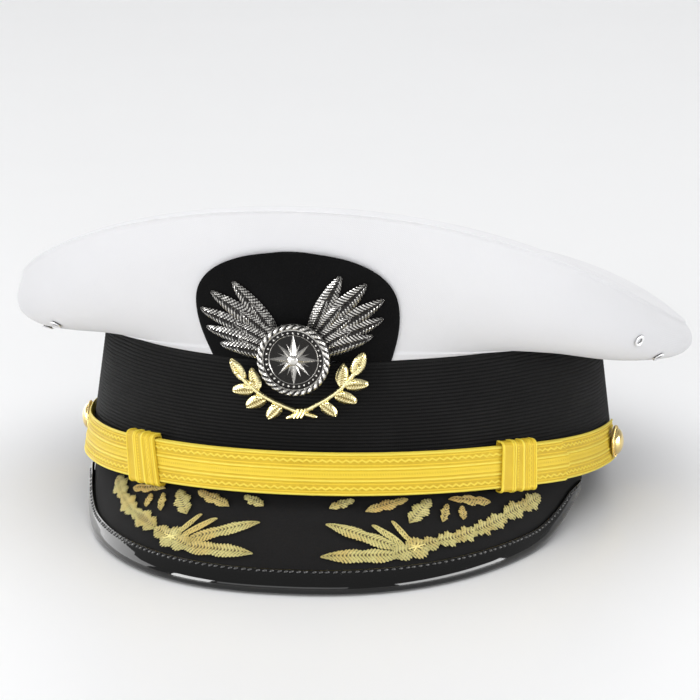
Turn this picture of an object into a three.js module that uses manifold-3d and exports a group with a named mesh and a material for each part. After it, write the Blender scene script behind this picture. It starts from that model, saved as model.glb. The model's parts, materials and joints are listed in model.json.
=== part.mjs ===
import * as THREE from 'three';
import { mergeVertices } from 'three/addons/utils/BufferGeometryUtils.js';
import Module from 'manifold-3d';

// Officer's cap at its real size, in millimetres, +Z up, front towards -Y.
// It rests by itself on the back of its band and the front of its visor.
// Inside the file a place is given as side (wearer's left is +), forward and up,
// measured from the middle of the band's lower edge.

// Head band: an oval ribbed band for a 7 3/8 head, 1 3/4 inch high, narrower at the top
const bandHalfWidth = 90;
const bandHalfLength = 103.2;
const bandHeight = 44.4;
const bandTaper = 5.6;
const bandWall = 2.5;
const bandFrontDip = 2.8;
const dipEndCosine = 0.6;
const bandSides = 64;

// Clearance between neighbouring pieces
const gap = 0.3;

// White cover: its rim is an oval seam whose height swings around the cap
const rimHalfWidth = 113.5;
const rimHalfLength = 117;
const rimShift = -1;
const rim = { mean: 19.1, pitch: 14.9, saddle: 13, peak: 0.3, shoulder: -0.9 };
const coverWall = 2;
const skirtDepth = 9;
const weltProud = 0.5;
const rollHeight = 3.2;
const rollWidth = 0.075;
const sideDroop = 10.5;
const backDroop = 3;
const sideBulge = 0.4;
const sideReach = 0.45;
const rimDroop = 0.9;
const skew = 4;
const coverSides = 52;
const panelSteps = 7;
const topRings = [0.982, 0.955, 0.9, 0.7, 0.4];

// Vents: small metal eyelets low in the cover's side panels
const ventBarrel = 1.5;
const ventBore = 0.9;
const ventFlange = 2.1;
const ventSides = 10;
const ventLift = 0.4;
const ventLip = 0.5;
const ventSlope = 0.3;
const vents = [
  { name: 'vent_eyelet_left_front', bearing: -59, along: 0.5 },
  { name: 'vent_eyelet_left_back', bearing: -72, along: 0.45 },
  { name: 'vent_eyelet_right_front', bearing: 63.5, along: 0.74 },
  { name: 'vent_eyelet_right_back', bearing: 73, along: 0.62 },
];

// Felt patch behind the badge
const patchBase = 28;
const patchWidest = 32;
const patchShift = -1.2;
const patchShoulder = 17;
const patchTop = 36;
const patchThickness = 1.4;
const patchRound = 2.4;
const patchCorner = 2.2;
const patchColumns = 8;
const patchHeights = [0.8, 6, 12, 18, 24, 28.5, 32, 34.5, 35.7];

// Badge: a compass medallion, two palm fronds and two laurel sprays
const badgeKnee = 12;
const badgeLean = 0.128;
const badgeTurn = 4.5;
const badgeShift = -1;
const badgeLeaf = 1.2;
const medallionHeight = 3;
const medallionStandoff = 3;
const medallionThickness = 2.4;
const medallionOutline = [
  { radius: 0, up: 0 },
  { radius: 10.9, up: 0 },
  { radius: 11.5, up: 0.6 },
  { radius: 11.5, up: 1.9 },
  { radius: 10.7, up: 2.4 },
  { radius: 9.1, up: 1.8 },
  { radius: 8.9, up: 1.3 },
  { radius: 0, up: 1.5 },
];
const medallionPost = 1.6;
const postSink = 0.5;
const hubOutline = [
  { radius: 0, up: 0 },
  { radius: 2.6, up: 0 },
  { radius: 1.7, up: 2.4 },
  { radius: 0, up: 3.2 },
];
const starDepth = 1.3;
const starRidge = 1.9;
const starShoulder = { along: 1.8, up: 0.5 };
const starPoints = [
  { turn: 0, reach: 8.4, half: 1.7 },
  { turn: 45, reach: 5.9, half: 1.3 },
  { turn: 90, reach: 8.4, half: 1.7 },
  { turn: 135, reach: 5.9, half: 1.3 },
  { turn: 180, reach: 8.4, half: 1.7 },
  { turn: 225, reach: 5.9, half: 1.3 },
  { turn: 270, reach: 8.4, half: 1.7 },
  { turn: 315, reach: 5.9, half: 1.3 },
];
const frondRoot = [
  { side: 4, up: 0 },
  { side: 5.5, up: 5 },
  { side: 5.5, up: 11 },
];
const frondRootWidth = 3.5;
const fronds = [
  { fromSide: 5, fromUp: 10, toSide: 17, toUp: 28, width: 6 },
  { fromSide: 5, fromUp: 9, toSide: 24.5, toUp: 25, width: 6.5 },
  { fromSide: 5, fromUp: 7, toSide: 29, toUp: 19.5, width: 6.5 },
  { fromSide: 5, fromUp: 5, toSide: 28, toUp: 13.5, width: 6 },
  { fromSide: 5, fromUp: 3.5, toSide: 24, toUp: 8, width: 5.5 },
];
const laurelStemWidth = 1.5;
const laurelStem = [
  { side: -5, up: -16.5 },
  { side: 3, up: -13.5 },
  { side: 12, up: -8.5 },
  { side: 19, up: -1.5 },
];
const laurels = [
  { fromSide: 6, fromUp: -12, toSide: 11, toUp: -16.5, width: 4.2 },
  { fromSide: 10.5, fromUp: -9.5, toSide: 17.5, toUp: -12.5, width: 4.6 },
  { fromSide: 14, fromUp: -7, toSide: 21.5, toUp: -7, width: 4.6 },
  { fromSide: 13, fromUp: -7.5, toSide: 14.5, toUp: 0, width: 4.2 },
  { fromSide: 17, fromUp: -4, toSide: 21, toUp: 3, width: 4.4 },
];

// Visor: a curved plate hung from the band's lower edge, with a bound outer edge
const visorHalfWidth = 84;
const visorReach = 131;
const visorStart = 8.5;
const visorSideExponent = 0.87;
const visorFrontExponent = 0.93;
const visorSlope = 0.094;
const visorLevelShare = 0.61;
const visorEndHeight = 2.6;
const visorSweep = 0.88;
const visorBearing = 70;
const visorThickness = 2;
const visorInset = 1.8;
const visorArch = 1.3;
const visorStations = 24;
const visorRows = [0, 0.14, 0.32, 0.54, 0.78, 1];
const bindingWall = 0.9;
const bindingLeg = 4.8;
const bindingEnd = 0.965;
const bindingArcSteps = 4;

// Embroidered oak leaves: base and tip of each leaf by bearing around the band
// and by distance out over the visor
const leafThickness = 0.9;
const leafEdge = 0.2;
const leafStations = [0.02, 0.3, 0.68, 0.99];
const stemWidth = 1.6;
const oakStems = {
  left: [
    { bearing: 45.5, out: 6.5 },
    { bearing: 40, out: 12.2 },
    { bearing: 34, out: 17.2 },
    { bearing: 27.5, out: 21.2 },
    { bearing: 18, out: 25.5 },
  ],
  right: [
    { bearing: 50, out: 9 },
    { bearing: 42.5, out: 13.2 },
    { bearing: 35, out: 18.2 },
    { bearing: 27.5, out: 21.5 },
    { bearing: 18, out: 25.5 },
  ],
};
const oakChains = {
  left: [
    { from: 47.5, fromOut: 3.8, to: 41.3, toOut: 11.4, width: 6 },
    { from: 41.8, fromOut: 10.6, to: 35.3, toOut: 16.6, width: 6.2 },
    { from: 36.6, fromOut: 15.3, to: 27.6, toOut: 20.9, width: 6.4 },
  ],
  right: [
    { from: 53, fromOut: 6.6, to: 47.6, toOut: 10.6, width: 5.6 },
    { from: 48.6, fromOut: 9.2, to: 42.4, toOut: 13, width: 5.8 },
    { from: 43.2, fromOut: 13, to: 38.1, toOut: 16.5, width: 5.6 },
    { from: 39.6, fromOut: 15.8, to: 35, toOut: 18.2, width: 5.4 },
    { from: 35.9, fromOut: 17.8, to: 31, toOut: 20.2, width: 5.8 },
    { from: 32, fromOut: 20.2, to: 27, toOut: 21.7, width: 5.8 },
  ],
};
const oakFork = [
  { from: 27.6, fromOut: 21.2, to: 17.6, toOut: 26.6, width: 7.4 },
  { from: 19.2, fromOut: 24.4, to: 5.7, toOut: 15, width: 5.2 },
  { from: 19.2, fromOut: 26.6, to: 5.1, toOut: 27.4, width: 5.6 },
  { from: 21.8, fromOut: 22.8, to: 18.1, toOut: 13.6, width: 2.6 },
  { from: 20.4, fromOut: 23.4, to: 14.3, toOut: 15, width: 3 },
];
const looseLeaves = [
  { from: 11.2, fromOut: 3.2, to: 6.2, toOut: 7.6, width: 4.2 },
  { from: 22, fromOut: 3.2, to: 13.2, toOut: 9, width: 4.8 },
  { from: 26.7, fromOut: 3.8, to: 21.7, toOut: 14.2, width: 5.8 },
  { from: 30.4, fromOut: 4.2, to: 39.8, toOut: 7.2, width: 4.2 },
];

// Chin strap: flat lace in two layers, leaning out over the visor at the front
const strapWidth = 13;
const strapMiddle = 8;
const strapThickness = 1.1;
const strapSink = 2.4;
const strapSinkStart = 35;
const strapStandoff = 0.5;
const strapForward = 2.4;
const strapLean = 0.8;
const strapLeanStart = 80;
const strapLeanFull = 50;
const strapStations = 26;
const buttonBearing = 84.8;
const strapEndPast = 4;
const strapTipBearing = 56.5;
const strapPoint = 4;
const backLayerTuck = 2.4;
const layerDownBearing = -58;
const layerUpBearing = -42;
const sliderLeft = { bearing: -34.3, skew: 2.9 };
const sliderRight = { bearing: 44.2, skew: -1.1 };
const sliderLength = 15;
const sliderWall = 1;
const sliderBack = 0.5;
const sliderMargin = 0.04;
const sliderEdge = 0.08;
const sliderSteps = [-1, -0.33, 0.33, 1];

// Buttons: domed, on a shank that passes through the strap
const buttonRadius = 5.5;
const buttonDome = 3.4;
const buttonRim = 0.8;
const shankRadius = 1.4;
const buttonSides = 14;
const buttonBevel = 0.4;
const domeShares = [0.85, 0.5, 0];
const domeInset = 0.9;

const radians = THREE.MathUtils.degToRad;
const mix = THREE.MathUtils.lerp;
const ease = THREE.MathUtils.smoothstep;

const wasm = await Module();
wasm.setup();

function place(side, forward, up) {
  return new THREE.Vector3(side, -forward, up);
}

// A closed body through rings of points. Its ends meet each other ('loop'), close on
// single points ('poles') or are capped across sections listed top first, then bottom ('caps').
function bodyThrough(rings, ends) {
  const positions = [];
  const starts = [];
  for (const ring of rings) {
    starts.push(positions.length / 3);
    for (const point of ring) {
      positions.push(point.x, point.y, point.z);
    }
  }
  const index = [];
  const last = ends === 'loop' ? rings.length : rings.length - 1;
  for (let i = 0; i < last; i += 1) {
    const k = (i + 1) % rings.length;
    const count = Math.max(rings[i].length, rings[k].length);
    for (let j = 0; j < count; j += 1) {
      const a = starts[i] + (j % rings[i].length);
      const b = starts[i] + ((j + 1) % rings[i].length);
      const c = starts[k] + ((j + 1) % rings[k].length);
      const d = starts[k] + (j % rings[k].length);
      if (a !== b) index.push(a, b, c);
      if (c !== d) index.push(a, c, d);
    }
  }
  if (ends === 'caps') {
    const n = rings[0].length;
    const end = starts[rings.length - 1];
    for (let j = 0; j < n / 2 - 1; j += 1) {
      index.push(j, n - 2 - j, j + 1, j, n - 1 - j, n - 2 - j);
      index.push(end + j, end + j + 1, end + n - 2 - j, end + j, end + n - 2 - j, end + n - 1 - j);
    }
  }
  const geometry = new THREE.BufferGeometry();
  geometry.setAttribute('position', new THREE.Float32BufferAttribute(positions, 3));
  geometry.setIndex(index);
  return facingOut(geometry);
}

// Turns every triangle over when the body's signed volume is negative
function facingOut(geometry) {
  const position = geometry.getAttribute('position');
  const index = Array.from(geometry.getIndex().array);
  const a = new THREE.Vector3();
  const b = new THREE.Vector3();
  const c = new THREE.Vector3();
  let volume = 0;
  for (let i = 0; i < index.length; i += 3) {
    a.fromBufferAttribute(position, index[i]);
    b.fromBufferAttribute(position, index[i + 1]);
    c.fromBufferAttribute(position, index[i + 2]);
    volume += a.dot(b.cross(c));
  }
  if (volume < 0) geometry.setIndex(index.reverse());
  return geometry;
}

function toSolid(geometry) {
  const bare = geometry.clone();
  bare.deleteAttribute('normal');
  bare.deleteAttribute('uv');
  const merged = mergeVertices(bare, 1e-4);
  return new wasm.Manifold(new wasm.Mesh({
    numProp: 3,
    vertProperties: new Float32Array(merged.getAttribute('position').array),
    triVerts: new Uint32Array(merged.getIndex().array),
  }));
}

function fromSolid(solid) {
  const mesh = solid.getMesh();
  const geometry = new THREE.BufferGeometry();
  geometry.setAttribute('position', new THREE.BufferAttribute(new Float32Array(mesh.vertProperties), 3));
  geometry.setIndex(Array.from(mesh.triVerts));
  return geometry;
}

function joined(geometries) {
  return fromSolid(geometries.map(toSolid).reduce((whole, piece) => whole.add(piece)));
}

function cutBy(geometry, cutters) {
  return fromSolid(cutters.map(toSolid).reduce((whole, piece) => whole.subtract(piece), toSolid(geometry)));
}

// Turns a lathe's axis from +Y onto a direction and moves its foot to a place
function standing(geometry, foot, direction) {
  const turn = new THREE.Quaternion().setFromUnitVectors(new THREE.Vector3(0, 1, 0), direction);
  return geometry.clone().applyQuaternion(turn).translate(foot.x, foot.y, foot.z);
}

function lathed(profile, sides) {
  return facingOut(mergeVertices(withoutExtras(new THREE.LatheGeometry(
    profile.map(([radius, height]) => new THREE.Vector2(radius, height)), sides)), 1e-4));
}

// A lathe's body through an outline given as a table
function turned(outline, sides) {
  return lathed(outline.map((corner) => [corner.radius, corner.up]), sides);
}

function withoutExtras(geometry) {
  geometry.deleteAttribute('normal');
  geometry.deleteAttribute('uv');
  return geometry;
}

// Head band
function bandTopAt(bearing) {
  return bandHeight - bandFrontDip * THREE.MathUtils.clamp(
    (Math.cos(bearing) - dipEndCosine) / (1 - dipEndCosine), 0, 1);
}

function onBand(bearing, up, outward) {
  const share = up / bandHeight;
  const halfWidth = bandHalfWidth - bandTaper * share + outward;
  const halfLength = bandHalfLength - bandTaper * share * bandHalfLength / bandHalfWidth + outward;
  return place(halfWidth * Math.sin(bearing), halfLength * Math.cos(bearing), up);
}

function capBand() {
  const rings = [];
  for (let i = 0; i < bandSides; i += 1) {
    const bearing = (i + 0.5) / bandSides * 2 * Math.PI;
    const top = bandTopAt(bearing);
    rings.push([
      onBand(bearing, 0, 0),
      onBand(bearing, top, 0),
      onBand(bearing, top, -bandWall),
      onBand(bearing, 0, -bandWall),
    ]);
  }
  return bodyThrough(rings, 'loop');
}

// Cover: the side panel runs from the band's top edge to the rim seam
function rimPlace(bearing) {
  return { side: rimHalfWidth * Math.sin(bearing), forward: rimShift + rimHalfLength * Math.cos(bearing) };
}

function topHeight(bearing, share) {
  const level = rim.mean
    + rim.pitch * share * Math.cos(bearing)
    + rim.saddle * share ** 2 * Math.cos(2 * bearing)
    + rim.peak * share ** 3 * Math.cos(3 * bearing)
    + rim.shoulder * share ** 4 * Math.cos(4 * bearing)
    - skew * (share * Math.sin(bearing)) ** 3;
  const roll = share < 1 - rollWidth ? 1 : 1 - ((share - 1 + rollWidth) / rollWidth) ** 2;
  return bandHeight + level + rollHeight * roll;
}

function onPanel(bearing, along) {
  const foot = onBand(bearing, bandTopAt(bearing), 0);
  const edge = rimPlace(bearing);
  const low = foot.z + gap;
  const high = topHeight(bearing, 1);
  const swell = Math.sin(bearing) ** 2;
  const back = Math.max(0, -Math.cos(bearing));
  const droop = (sideDroop + skew * Math.sin(bearing)) * swell + backDroop * back;
  const near = { out: mix(1 / 3, sideReach, swell), up: mix(mix(low, high, 1 / 3), low, swell) - droop };
  const far = {
    out: mix(2 / 3, 1 + sideBulge, swell),
    up: mix(mix(low, high, 2 / 3), low, swell) - droop * rimDroop,
  };
  const rest = 1 - along;
  const out = 3 * rest ** 2 * along * near.out + 3 * rest * along ** 2 * far.out + along ** 3;
  const up = rest ** 3 * low + 3 * rest ** 2 * along * near.up
    + 3 * rest * along ** 2 * far.up + along ** 3 * high;
  return place(mix(foot.x, edge.side, out), mix(-foot.y, edge.forward, out), up);
}

function onTop(bearing, share) {
  const edge = rimPlace(bearing);
  return place(edge.side * share, rimShift + (edge.forward - rimShift) * share, topHeight(bearing, share));
}

// Unit normal of a surface given by two parameters, turned towards a wanted side
function normalOf(surface, a, b, stepA, stepB, wanted) {
  const across = surface(a + stepA, b).sub(surface(a - stepA, b));
  const along = surface(a, b + stepB).sub(surface(a, b - stepB));
  const normal = across.cross(along).normalize();
  return normal.dot(wanted) < 0 ? normal.negate() : normal;
}

function panelNormal(bearing, along) {
  const inside = Math.min(Math.max(along, 0.02), 0.98);
  const normal = normalOf(onPanel, bearing, inside, 0.01, 0.01, place(Math.sin(bearing), Math.cos(bearing), 0));
  const hangs = onPanel(bearing, inside + 0.01).z < onPanel(bearing, inside - 0.01).z;
  return hangs && normal.z > 0 ? normal.negate() : normal;
}

function coverCrown() {
  const bearings = Array.from({ length: coverSides }, (_, i) => i / coverSides * 2 * Math.PI);
  const outer = [];
  const inner = [];
  outer.push(bearings.map((t) => onBand(t, bandTopAt(t) - skirtDepth, -bandWall - gap)));
  outer.push(bearings.map((t) => onBand(t, bandTopAt(t) + gap, -bandWall - gap)));
  inner.push(bearings.map((t) => onBand(t, bandTopAt(t) - skirtDepth, -bandWall - gap - coverWall)));
  inner.push(bearings.map((t) => onBand(t, bandTopAt(t) + 2 * coverWall, -bandWall - gap - coverWall)));
  for (let step = 0; step < panelSteps; step += 1) {
    const along = step / panelSteps;
    outer.push(bearings.map((t) => onPanel(t, along)));
    if (step > 0) {
      inner.push(bearings.map((t) => onPanel(t, along).addScaledVector(panelNormal(t, along), -coverWall)));
    }
  }
  outer.push(bearings.map((t) => {
    const outward = place(Math.sin(t), Math.cos(t), 0);
    return onPanel(t, 1).addScaledVector(outward, weltProud);
  }));
  inner.push(bearings.map((t) => innerRim(t)));
  for (const share of topRings) {
    outer.push(bearings.map((t) => onTop(t, share)));
    if (share < 0.95) {
      inner.push(bearings.map((t) => onTop(t, share).addScaledVector(topNormal(t, share), -coverWall)));
    }
  }
  outer.push([onTop(0, 0)]);
  inner.push([onTop(0, 0).addScaledVector(place(0, 0, 1), -coverWall)]);
  return bodyThrough([...outer.reverse(), ...inner], 'poles');
}

function topNormal(bearing, share) {
  return normalOf(onTop, bearing, share, 0.01, 0.005, place(0, 0, 1));
}

// The rim's inner corner lies on the line that halves the panel and the top
function innerRim(bearing) {
  const rimPoint = onPanel(bearing, 1);
  const inward = onTop(bearing, 0.94).sub(rimPoint).normalize();
  const down = onPanel(bearing, 0.93).sub(rimPoint).normalize();
  const half = inward.clone().add(down).normalize();
  const sine = Math.sqrt((1 - inward.dot(down)) / 2);
  return rimPoint.addScaledVector(half, coverWall / sine);
}

function ventSeat(vent) {
  const bearing = radians(vent.bearing);
  return { foot: onPanel(bearing, vent.along), normal: panelNormal(bearing, vent.along) };
}

function coverWithVents() {
  const reach = 3 * coverWall;
  const drill = lathed([[0, -reach], [ventBarrel + gap, -reach], [ventBarrel + gap, reach], [0, reach]],
    ventSides + 2);
  return cutBy(coverCrown(), vents.map((vent) => {
    const seat = ventSeat(vent);
    return standing(drill, seat.foot, seat.normal);
  }));
}

function ventEyelet(vent) {
  const seat = ventSeat(vent);
  const high = ventLift + ventLip;
  const profile = [[ventBore, -coverWall], [ventBarrel, -coverWall], [ventBarrel, ventLift], [ventFlange, ventLift],
    [ventFlange - ventSlope, high], [ventBore + ventSlope, high], [ventBore, -coverWall]];
  return standing(lathed(profile, ventSides), seat.foot, seat.normal);
}

// A place on the cover's front by side and height over the band, found in a few steps
function onFront(side, height, outward) {
  let bearing = Math.asin(side / bandHalfWidth);
  let along = 0.5;
  for (let pass = 0; pass < 14; pass += 1) {
    const point = onPanel(bearing, along);
    const wanted = bandTopAt(bearing) + gap + height;
    const rise = topHeight(bearing, 1) - bandTopAt(bearing);
    along += (wanted - point.z) / rise;
    bearing += (side - point.x) / (rimHalfWidth * Math.cos(bearing));
  }
  return onPanel(bearing, along).addScaledVector(panelNormal(bearing, along), outward);
}

// Patch outline: half of its width at each height, rounded over the top
function patchHalfWidth(height) {
  if (height < patchShoulder) {
    return mix(patchBase, patchWidest, Math.sin(height / patchShoulder * Math.PI / 2));
  }
  const rise = (height - patchShoulder) / (patchTop - patchShoulder);
  return patchWidest * (1 - rise ** patchRound) ** (1 / patchCorner);
}

function badgePatch() {
  const rings = patchHeights.map((height) => {
    const half = patchHalfWidth(height);
    const front = [];
    const behind = [];
    for (let j = 0; j <= patchColumns; j += 1) {
      const side = patchShift + mix(-half, half, j / patchColumns);
      front.push(onFront(side, height, gap + patchThickness));
      behind.push(onFront(side, height, gap));
    }
    return [...front, ...behind.reverse()];
  });
  return bodyThrough(rings, 'caps');
}

// Badge ground: over the patch above the knee, bridging down in front of the band below it
function onBadge(side, height, outward) {
  const turn = radians(badgeTurn);
  const turnedSide = badgeShift + side * Math.cos(turn) - height * Math.sin(turn);
  const turnedHeight = height * Math.cos(turn) + side * Math.sin(turn);
  const clear = gap + patchThickness + gap;
  if (turnedHeight >= badgeKnee) return onFront(turnedSide, turnedHeight, clear + outward);
  const knee = onFront(turnedSide, badgeKnee, clear + outward);
  const drop = badgeKnee - turnedHeight;
  return place(knee.x, -knee.y - badgeLean * drop, knee.z - drop);
}

// Visor: outer edge in plan, and its height, level with the surface it rests on at the front
function visorEdge(share) {
  const turn = Math.abs(share) * visorSweep;
  const angle = turn * Math.PI / 2;
  const side = Math.sign(share) * visorHalfWidth * Math.sin(angle) ** visorSideExponent;
  const forward = visorStart + (visorReach - visorStart) * Math.cos(angle) ** visorFrontExponent;
  const level = -(forward + bandHalfLength) * visorSlope;
  const k = Math.max(0, (turn - visorLevelShare) / (1 - visorLevelShare));
  const up = level + (visorEndHeight - level) * k * k * (2 - k);
  return place(side, forward, up);
}

function onVisor(share, out) {
  const bearing = share * radians(visorBearing);
  const root = onBand(bearing, 0, -visorInset);
  const edge = visorEdge(share);
  const fall = out ** visorArch;
  return new THREE.Vector3(
    mix(root.x, edge.x, out), mix(root.y, edge.y, out), mix(-gap, edge.z, fall));
}

function visorNormal(share, out) {
  const inShare = Math.min(Math.max(share, -0.99), 0.99);
  const inOut = Math.min(Math.max(out, 0.03), 0.97);
  const bearing = share * radians(visorBearing);
  const wanted = place(Math.sin(bearing), Math.cos(bearing), 0.4);
  return normalOf(onVisor, inShare, inOut, 0.01, 0.02, wanted);
}

function visorShares() {
  return Array.from({ length: visorStations + 1 }, (_, i) => -1 + 2 * i / visorStations);
}

function visorPlate() {
  const rings = visorShares().map((share) => {
    const top = visorRows.map((out) => onVisor(share, out));
    const under = visorRows.map((out) => {
      const point = onVisor(share, out).addScaledVector(visorNormal(share, out), -visorThickness);
      return point.setZ(Math.min(point.z, -gap));
    });
    return [...top, ...under.reverse()];
  });
  return bodyThrough(rings, 'caps');
}

// Binding: a U of patent leather round the visor's edge, with shorter legs at the ends
function visorBinding() {
  const within = visorThickness / 2 + gap;
  const beyond = within + bindingWall;
  const rings = visorShares().map((whole) => {
    const share = whole * bindingEnd;
    const normal = visorNormal(share, 0.97);
    const edge = onVisor(share, 1);
    const outward = edge.clone().sub(onVisor(share, 0.9)).normalize();
    outward.addScaledVector(normal, -outward.dot(normal)).normalize();
    const reach = onVisor(share, 0).distanceTo(edge);
    const leg = Math.min(bindingLeg, reach * 0.45);
    const middle = edge.clone().addScaledVector(normal, -visorThickness / 2);
    const at = (along, across) => (
      middle.clone().addScaledVector(outward, along).addScaledVector(normal, across));
    const outerLine = [at(-leg, beyond)];
    const innerLine = [at(-leg, within)];
    for (let step = 0; step <= bindingArcSteps; step += 1) {
      const angle = Math.PI / 2 - Math.PI * step / bindingArcSteps;
      outerLine.push(at(gap + beyond * Math.cos(angle), beyond * Math.sin(angle)));
      innerLine.push(at(gap + 0.4 * within * Math.cos(angle), within * Math.sin(angle)));
    }
    outerLine.push(at(-leg, -beyond));
    innerLine.push(at(-leg, -within));
    return [...outerLine, ...innerLine.reverse()];
  });
  return bodyThrough(rings, 'caps');
}

// A leaf on a surface: a pointed blade with a raised middle, from its base to its tip
function leafOn(surface, from, to, width, thickness) {
  const start = surface(from[0], from[1], 0);
  const finish = surface(to[0], to[1], 0);
  const length = start.distanceTo(finish);
  const step = 0.01;
  const rings = leafStations.map((along) => {
    const a = mix(from[0], to[0], along);
    const b = mix(from[1], to[1], along);
    const here = surface(a, b, 0);
    const ahead = surface(a + (to[0] - from[0]) * step, b + (to[1] - from[1]) * step, 0).sub(here);
    const normal = surface(a, b, 1).sub(here);
    const across = ahead.cross(normal).normalize();
    const half = width / 2 * Math.sin(Math.PI * along ** 0.8) ** 0.8 + length * 0.01;
    const edge = thickness * leafEdge;
    const left = here.clone().addScaledVector(across, -half).addScaledVector(normal, edge);
    const right = here.clone().addScaledVector(across, half).addScaledVector(normal, edge);
    const ridge = here.clone().addScaledVector(normal, thickness);
    return [left, ridge, right, here];
  });
  return bodyThrough(rings, 'caps');
}

// A stem on a surface: a strip of one width through a few places
function stemOn(surface, places, width, thickness) {
  const curve = new THREE.CatmullRomCurve3(places.map(([a, b]) => new THREE.Vector3(a, b, 0)));
  const count = 2 * (places.length - 1);
  const spots = curve.getPoints(count);
  const rings = spots.map((spot, i) => {
    const next = spots[Math.min(i + 1, count)];
    const before = spots[Math.max(i - 1, 0)];
    const here = surface(spot.x, spot.y, 0);
    const ahead = surface(next.x, next.y, 0).sub(surface(before.x, before.y, 0));
    const normal = surface(spot.x, spot.y, 1).sub(here);
    const across = ahead.cross(normal).normalize().multiplyScalar(width / 2);
    const raised = here.clone().addScaledVector(normal, thickness * 0.8);
    return [raised.clone().sub(across), raised.clone().add(across), here.clone().add(across),
      here.clone().sub(across)];
  });
  return bodyThrough(rings, 'caps');
}

// Places on the visor by bearing round the band and distance out, just over the felt
function overVisor(bearing, out, lift) {
  const share = bearing / visorBearing;
  const reach = onVisor(share, 0).distanceTo(onVisor(share, 1));
  const portion = out / reach;
  return onVisor(share, portion).addScaledVector(visorNormal(share, portion), gap + lift);
}

function oakSpray(hand) {
  const side = hand < 0 ? 'left' : 'right';
  const leaves = [...oakChains[side], ...oakFork].map((leaf) => leafOn(overVisor,
    [hand * leaf.from, leaf.fromOut], [hand * leaf.to, leaf.toOut], leaf.width, leafThickness));
  const places = oakStems[side].map((spot) => [hand * spot.bearing, spot.out]);
  const stem = stemOn(overVisor, places, stemWidth, leafThickness);
  return joined([stem, ...leaves]);
}

function looseLeaf(hand, leaf) {
  return leafOn(overVisor, [hand * leaf.from, leaf.fromOut], [hand * leaf.to, leaf.toOut],
    leaf.width, leafThickness);
}

// Badge pieces
function palmFrond(hand) {
  const blades = fronds.map((blade) => leafOn(onBadge,
    [hand * blade.fromSide, blade.fromUp], [hand * blade.toSide, blade.toUp], blade.width, badgeLeaf));
  const root = stemOn(onBadge, frondRoot.map((spot) => [hand * spot.side, spot.up]), frondRootWidth, badgeLeaf);
  return joined([root, ...blades]);
}

function laurelSprays() {
  const pieces = [];
  for (const hand of [-1, 1]) {
    const places = laurelStem.map((spot) => [hand * spot.side, spot.up]);
    pieces.push(stemOn(onBadge, places, laurelStemWidth, badgeLeaf));
    for (const blade of laurels) {
      pieces.push(leafOn(onBadge, [hand * blade.fromSide, blade.fromUp], [hand * blade.toSide, blade.toUp],
        blade.width, badgeLeaf));
    }
  }
  return joined(pieces);
}

function medallion() {
  const ground = onBadge(0, medallionHeight, 0);
  const facing = place(0, 1, -badgeLean).normalize();
  const behind = onFront(badgeShift, medallionHeight, patchThickness + 3.5 * gap);
  const foot = ground.clone().addScaledVector(facing, medallionStandoff);
  const length = foot.distanceTo(behind) + postSink;
  const shank = lathed([[0, 0], [medallionPost, 0], [medallionPost, length], [0, length]], 10);
  const post = standing(shank, behind, foot.clone().sub(behind).normalize());
  const dish = standing(turned(medallionOutline, 24), foot, facing);
  const hub = standing(turned(hubOutline, 16), foot, facing);
  return joined([dish, post, hub, ...starPoints.map((point) => starPoint(point, foot, facing))]);
}

// One point of the compass star: a low pyramid
function starPoint(point, foot, facing) {
  const right = new THREE.Vector3(1, 0, 0);
  const above = new THREE.Vector3().crossVectors(right, facing).negate();
  const angle = radians(point.turn);
  const ray = above.clone().multiplyScalar(Math.cos(angle)).addScaledVector(right, Math.sin(angle));
  const across = new THREE.Vector3().crossVectors(ray, facing);
  const base = foot.clone().addScaledVector(facing, medallionThickness - starDepth);
  const at = (along, aside, up) => base.clone()
    .addScaledVector(ray, along).addScaledVector(across, aside).addScaledVector(facing, up);
  const { along, up } = starShoulder;
  const ring = [at(0, 0, starRidge), at(along, point.half, up), at(along, point.half, 0), at(0, 0, 0),
    at(along, -point.half, 0), at(along, -point.half, up)];
  return bodyThrough([[at(0.6, 0, 0.2)], ring, [at(point.reach, 0, 0.3)]], 'poles');
}

// Chin strap: places on its inner face by bearing, height share of its width and distance out
function onStrap(bearingDegrees, share, outward) {
  const bearing = radians(bearingDegrees);
  const leaning = 1 - ease(Math.abs(bearingDegrees), strapLeanFull, strapLeanStart);
  const sink = strapSink * ease(bearingDegrees, strapSinkStart, buttonBearing);
  const up = strapMiddle - sink + strapWidth * (0.5 - share);
  const low = onBand(bearing, 0, 0);
  const outer = onBand(bearing, 0, 1).sub(low);
  const band = onBand(bearing, up, 0);
  const out = strapStandoff + leaning * (strapForward + strapLean * share) + outward;
  return band.addScaledVector(outer, out);
}

// How far a layer's inner face lies out: the front layer rides over the back layer,
// and comes down to the band where the back layer has ended
const backLayer = 0;
const frontLayer = strapThickness + 1.5 * gap;

function layerRise(bearingDegrees, layer) {
  return layer * ease(bearingDegrees, layerDownBearing, layerUpBearing);
}

// A strip of lace between two bearings; its far end may be pointed by a few millimetres
function laceStrip(from, to, layer, pointed) {
  const degreesPerMillimetre = 180 / Math.PI / bandHalfLength;
  const rings = [];
  for (let i = 0; i <= strapStations; i += 1) {
    const bearing = mix(from, to, i / strapStations);
    const nose = pointed && i === strapStations ? strapPoint * degreesPerMillimetre : 0;
    const shares = [0, 0.5, 1];
    const bearings = shares.map((share) => bearing + nose * (1 - Math.abs(share - 0.5) * 2));
    const inner = bearings.map((degrees) => layerRise(degrees, layer));
    const outside = shares.map((share, j) => onStrap(bearings[j], share, inner[j] + strapThickness));
    const inside = shares.map((share, j) => onStrap(bearings[j], share, inner[j]));
    rings.push([...outside, ...inside.reverse()]);
  }
  return bodyThrough(rings, 'caps');
}

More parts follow.
